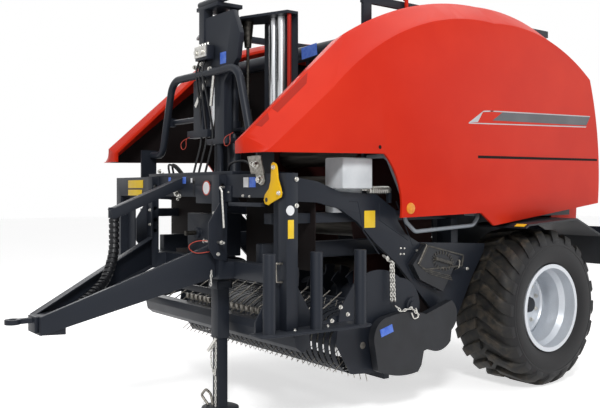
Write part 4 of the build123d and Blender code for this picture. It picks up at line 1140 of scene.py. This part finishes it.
def edge_rib(start, end):
    """A rib along an edge of the box, between two corners in X and Z."""
    a = Vector((start[0], CHOCK_Y, start[1]))
    b = Vector((end[0], CHOCK_Y, end[1]))
    return (slab, (a + b) / 2, ((b - a).length, 12, 12), b - a, OUT_LEFT)


def low_rib(offset):
    """A thin rib under the box, shorter the lower it lies."""
    spot = Vector((1180 - offset * 0.8, CHOCK_Y, 1010 - offset * 0.7)) + CHOCK_ALONG * 60
    return (slab, spot, (330 - offset, 8, 8), CHOCK_ALONG, OUT_LEFT)


chock_ribs = [recess_rib(i) for i in range(RECESS_RIBS)]
chock_ribs += [edge_rib(start, end) for start, end in zip(CHOCK_EDGES, CHOCK_EDGES[1:])]
chock_ribs += [low_rib(offset) for offset in LOW_RIBS]
piece_of("chock_ribs", dusty_moulding, chock_ribs, 2)
grip = (slab, CHOCK_MIDDLE + Vector((0, 10, 0)), (190, 26, 22), CHOCK_ALONG, OUT_LEFT)
piece_of("chock_grip", dusty_moulding, (grip,), 6)
chock_wires = [(bent_rod, eased(path, reach), radius) for path, reach, radius in CHOCK_WIRES]
piece_of("chock_wires", spring, chock_wires)
prop = (slab, (1138, 1102, 921), (150, 34, 22), (112, 0, 97), OUT_LEFT)
piece_of("chock_bar", grey_coat, (prop,), 3)

# %% [markdown]
# Two chains with oval links hang beside the chock box. A third lies over the pick-up's shield,
# where a split pin rests, and it moves with the pick-up. Each link could be an object, but a chain
# that is one mesh is one piece on one body.

# %% Side chains
SIDE_CHAIN_FORMS = (
    (chain, ((1640, 1096, 1152), (1632, 1172, 1110), (1628, 1174, 800)), 27),
    (chain, ((1640, 1096, 1150), (1610, 1172, 1100), (1596, 1174, 806)), 27))
SPLIT_PIN_PATH = ((1436, 1232, 760), (1404, 1232, 690), (1455, 1232, 680), (1480, 1232, 730))
SHIELD_CHAIN_FORMS = (
    (chain, ((1640, 1228, 792), (1584, 1230, 750), (1481, 1230, 764), (1400, 1230, 705)), 24),
    (bent_rod, eased(SPLIT_PIN_PATH, 18), 5, 6))

piece_of("side_chain", zinc, SIDE_CHAIN_FORMS)
piece_of("shield_chain", zinc, SHIELD_CHAIN_FORMS, body="pickup")

# %% [markdown]
# The cover's latch is pulled by a coil spring on a thin rod, between two discs. A Screw modifier
# could wind the coil. Here it is a bent rod along a helix, worked out turn by turn, so its length
# and number of turns are plain values.

# %% Latch spring
SPRING_Y, SPRING_Z = 1080, 1632
SPRING_BACK, SPRING_FRONT = 1578, 1761
SPRING_TURNS = 9
SPRING_R = 24
SPRING_WIRE_R = 5.5
COIL_STEPS = 8


def on_coil(i):
    """A place on the helix, so many steps from its rear end."""
    angle = 2 * pi * i / COIL_STEPS
    x = SPRING_BACK + (SPRING_FRONT - SPRING_BACK) * i / (SPRING_TURNS * COIL_STEPS)
    return Vector((x, SPRING_Y + SPRING_R * cos(angle), SPRING_Z + SPRING_R * sin(angle)))


def on_spring_rod(back, front, radius, sides=12):
    """A round form about the spring's own line."""
    return (rod, (back, SPRING_Y, SPRING_Z), (front, SPRING_Y, SPRING_Z), radius, sides)


coil = [on_coil(i) for i in range(SPRING_TURNS * COIL_STEPS + 1)]
spring_forms = ((bent_rod, coil, SPRING_WIRE_R, 6), on_spring_rod(1570, 1838, 6),
                on_spring_rod(SPRING_BACK - 12, SPRING_BACK, 26, 16),
                on_spring_rod(SPRING_FRONT + 1, SPRING_FRONT + 13, 26, 16))
piece_of("latch_spring", zinc, spring_forms)
stay = (slab, (1560, 1076, 1590), (24, 34, 110), FORWARD, UP)
piece_of("spring_stay", black_coat, (stay,), 3)

# %% [markdown]
# The side plates are folded along straight lines. Each fold shows as a narrow bright bead. A bump
# could draw it, but would need the lines' places in the paint, so a thin half-sunk rod is laid
# along it instead, coated as the plate is.

# %% Folds of the side plates
FOLD_Y = 1088.5
FOLD_R = 4
FOLDS = (
    # paths in X and Z
    ((1961, 1550), (1880, 1549), (1825, 1332), (1670, 1160)), ((1670, 1536), (1670, 1411), (1375, 1252)),
    ((1496, 1545), (1345, 1251), (1314, 1184), (1250, 1120)), ((1110, 708), (996, 765)))

folds = [(bent_rod, [Vector((x, side * FOLD_Y, z)) for x, z in line], FOLD_R)
         for side in (1, -1) for line in FOLDS]
piece_of("side_plate_folds", black_coat, folds)

# %% [markdown]
# A row of small bright blocks holds the wind guard's fingers, which are slanted rods, and a flat
# plate is bolted over them on the right. The pick-up's side has three nuts, and its shield a blank
# plate. Each rides on the body that it is bolted to, so that it lifts and lowers with it.

# %% Wind guard and pick-up trim
FINGER_BLOCKS_Y = (-577, -503, -431, -359, -289, -232, -153, 128, 200, 271, 340, 409, 476)
FINGER_BLOCK_HALF = 20
SHIELD_PLATE = ((1787, 1222, 634), (1668, 1222, 664), (1653, 1222, 609), (1773, 1222, 580))
PICKUP_NUTS = ((2014, 757), (2079, 813), (2157, 726))

blocks = [(block, (2326, y - FINGER_BLOCK_HALF, 708), (2346, y + FINGER_BLOCK_HALF, 752))
          for y in FINGER_BLOCKS_Y]
piece_of("guard_blocks", spring, blocks, 4, body="wind_guard")
cover_plate = (block, (2340, -900, 786), (2370, -125, 836))
piece_of("guard_plate", black_coat, (cover_plate,), 3, body="wind_guard")
shield_plate = (cut_sheet, SHIELD_PLATE, (0, -2, 0), (0, 1, 0))
piece_of("shield_plate", blue_plate, (shield_plate,), body="pickup")
nuts = [(bolt, (x, 1132, z), OUT_LEFT, 26) for x, z in PICKUP_NUTS]
piece_of("pickup_bolts", zinc, nuts, body="pickup")

# %% [markdown]
# The jack's tube has a cap. It is a ring of four blocks, because a solid block would be cut by the
# leg that passes through it. The leg carries a folding handle on its foot, and a pin on a long
# looped chain. Both move with the leg.

# %% Jack trim
CAP_LOW, CAP_HIGH = 900, 960
CAP_SIDES = (
    # from X, from Y, to X, to Y
    (2484, 234, 2499, 366), (2601, 234, 2616, 366), (2484, 234, 2616, 249), (2484, 351, 2616, 366))
FOOT_HANDLE_PATH = ((2600, 210, 16), (2625, 150, 82), (2625, 217, 140), (2622, 285, 118), (2615, 300, 40))
JACK_CHAIN_LOOP = ((2616, 336, 530), (2630, 300, 430), (2628, 304, 330), (2620, 334, 262), (2614, 340, 330),
                   (2614, 344, 520))
JACK_PIN_FORMS = (
    (rod, (2612.5, 344, 540), (2650, 288, 440), 11, 12),
    (chain, JACK_CHAIN_LOOP, 20),
    (chain, ((2614, 338, 258), (2614, 338, 26)), 20))

cap_blocks = [(block, (x0, y0, CAP_LOW), (x1, y1, CAP_HIGH)) for x0, y0, x1, y1 in CAP_SIDES]
piece_of("jack_cap", black_coat, cap_blocks, 6)
foot_handle = (bent_rod, eased(FOOT_HANDLE_PATH, 22), 10, 10)
piece_of("jack_foot_handle", spring, (foot_handle,), body="jack_leg")
piece_of("jack_pin_and_chain", zinc, JACK_PIN_FORMS, body="jack_leg")

# %% [markdown]
# The head carries a valve block with fittings, a silver handle, a strip and blank blue plates, and
# a looped red wire hangs by each unit's foot. All of it is small, so plain forms are enough, and
# only the wires need rounded bends.

# %% Head trim
VALVE_FACE = 2560
HEAD_BOLTS = ((2535, -700, 1790), (2535, -640, 1760), (2530, 0, 2610), (2530, 120, 2560), (2530, -110, 2600))
FITTINGS_Y = (-50, -10, 30, 70)
LOOPS_Y = (-290, 372)
HEAD_FORMS = (
    (rod, (2512, 144, 2510), (2512, 102, 2280), 12, 12),
    (slab, (2505, -70, 2390), (8, 34, 250), FORWARD, (0, 177, 216)),
    (block, (2549, -70, 2660), (VALVE_FACE, 104, 2746)),
    (rod, (VALVE_FACE, -40, 2700), (VALVE_FACE + 14, -40, 2700), 20, 6),
    (rod, (VALVE_FACE, 40, 2700), (VALVE_FACE + 14, 40, 2700), 24, 16))
HEAD_PLATE_FORMS = (
    (slab, (1712, 306, 2757), (3, 200, 96), FORWARD, (0.02, -0.07, 1)),
    (block, (2479, 186, 2592), (2481.5, 270, 2680)))


def wire_loop(y):
    path = ((2480, y, 2060), (2536, y - 52, 2022), (2536, y - 30, 1950), (2532, y + 44, 1972),
            (2532, y + 30, 2040), (2490, y, 2056))
    return (bent_rod, eased(path, 60, 8), 2.6, 6)


head_fittings = list(HEAD_FORMS)
head_fittings += [(rod, (2520, y, 2748), (2520, y, 2772), 9, 6) for y in FITTINGS_Y]
head_fittings += [(bolt, where, FORWARD, 34) for where in HEAD_BOLTS]
piece_of("head_fittings", zinc, head_fittings)
piece_of("wire_loops", wire_red, [wire_loop(y) for y in LOOPS_Y])
piece_of("cross_tube_plate", blue_plate, HEAD_PLATE_FORMS)

# %% [markdown]
# At the rear, each red lamp has a black shell with two ribs, and bolts hold the hood to the gate
# behind it. Each fender has a blank yellow plate on the lip in front, which is turned to lie on the
# slope.

# %% Rear trim
LAMP_IN_Y, LAMP_OUT_Y = 1104, 1376
LAMP_RIBS_Z = (1127, 1164)
HOOD_BOLTS = [(-1152, y, z) for z in (1500, 1900, 2300) for y in (-600, 600)]
BACKWARD = (-1, 0, 0)


def lamp_shell(side):
    """The shell behind a lamp's lens, with two ribs across the lens."""
    y0, y1 = sorted((side * LAMP_IN_Y, side * LAMP_OUT_Y))
    ribs = [(block, (-942, y0 + 6, z - 2), (-938, y1 - 6, z + 2)) for z in LAMP_RIBS_Z]
    return [(block, (-896, y0, 1084), (-888, y1, 1206))] + ribs


piece_of("lamp_shells", black_moulding, lamp_shell(1) + lamp_shell(-1), 1)
fender_plates = [(slab, (352, y, 1345.3), (40, 95, 3), (38, 0, -20), (20, 0, 38)) for y in (1350, -1350)]
piece_of("fender_plates", yellow_plate, fender_plates)
hood_bolts = [(bolt, where, BACKWARD, 26) for where in HOOD_BOLTS]
piece_of("hood_bolts", zinc, hood_bolts, body="tailgate")

# %% [markdown]
# Behind the gearbox a bulkhead closes the space under the beam, and thin skirts close the gap between each
# side plate and the chamber. The machine's inside could be modelled there, but nothing of it shows. The
# panels lie in the dark, and keep the light from shining through. Their near-black colour is painted shade,
# for the dark space inside.

# %% Bulkhead and skirts
PANEL_FORMS = (
    (block, (2236, -1052, 1064), (2244, -190, 1600)), (block, (2236, 190, 1064), (2244, 1052, 1600)),
    (block, (905, -1052, 640), (1290, -1044, 1000)), (block, (905, 1044, 640), (1290, 1052, 1000)))

piece_of("bulkhead_and_skirts", rough_near_black, PANEL_FORMS, 1)
print("pieces:", len(made_pieces))
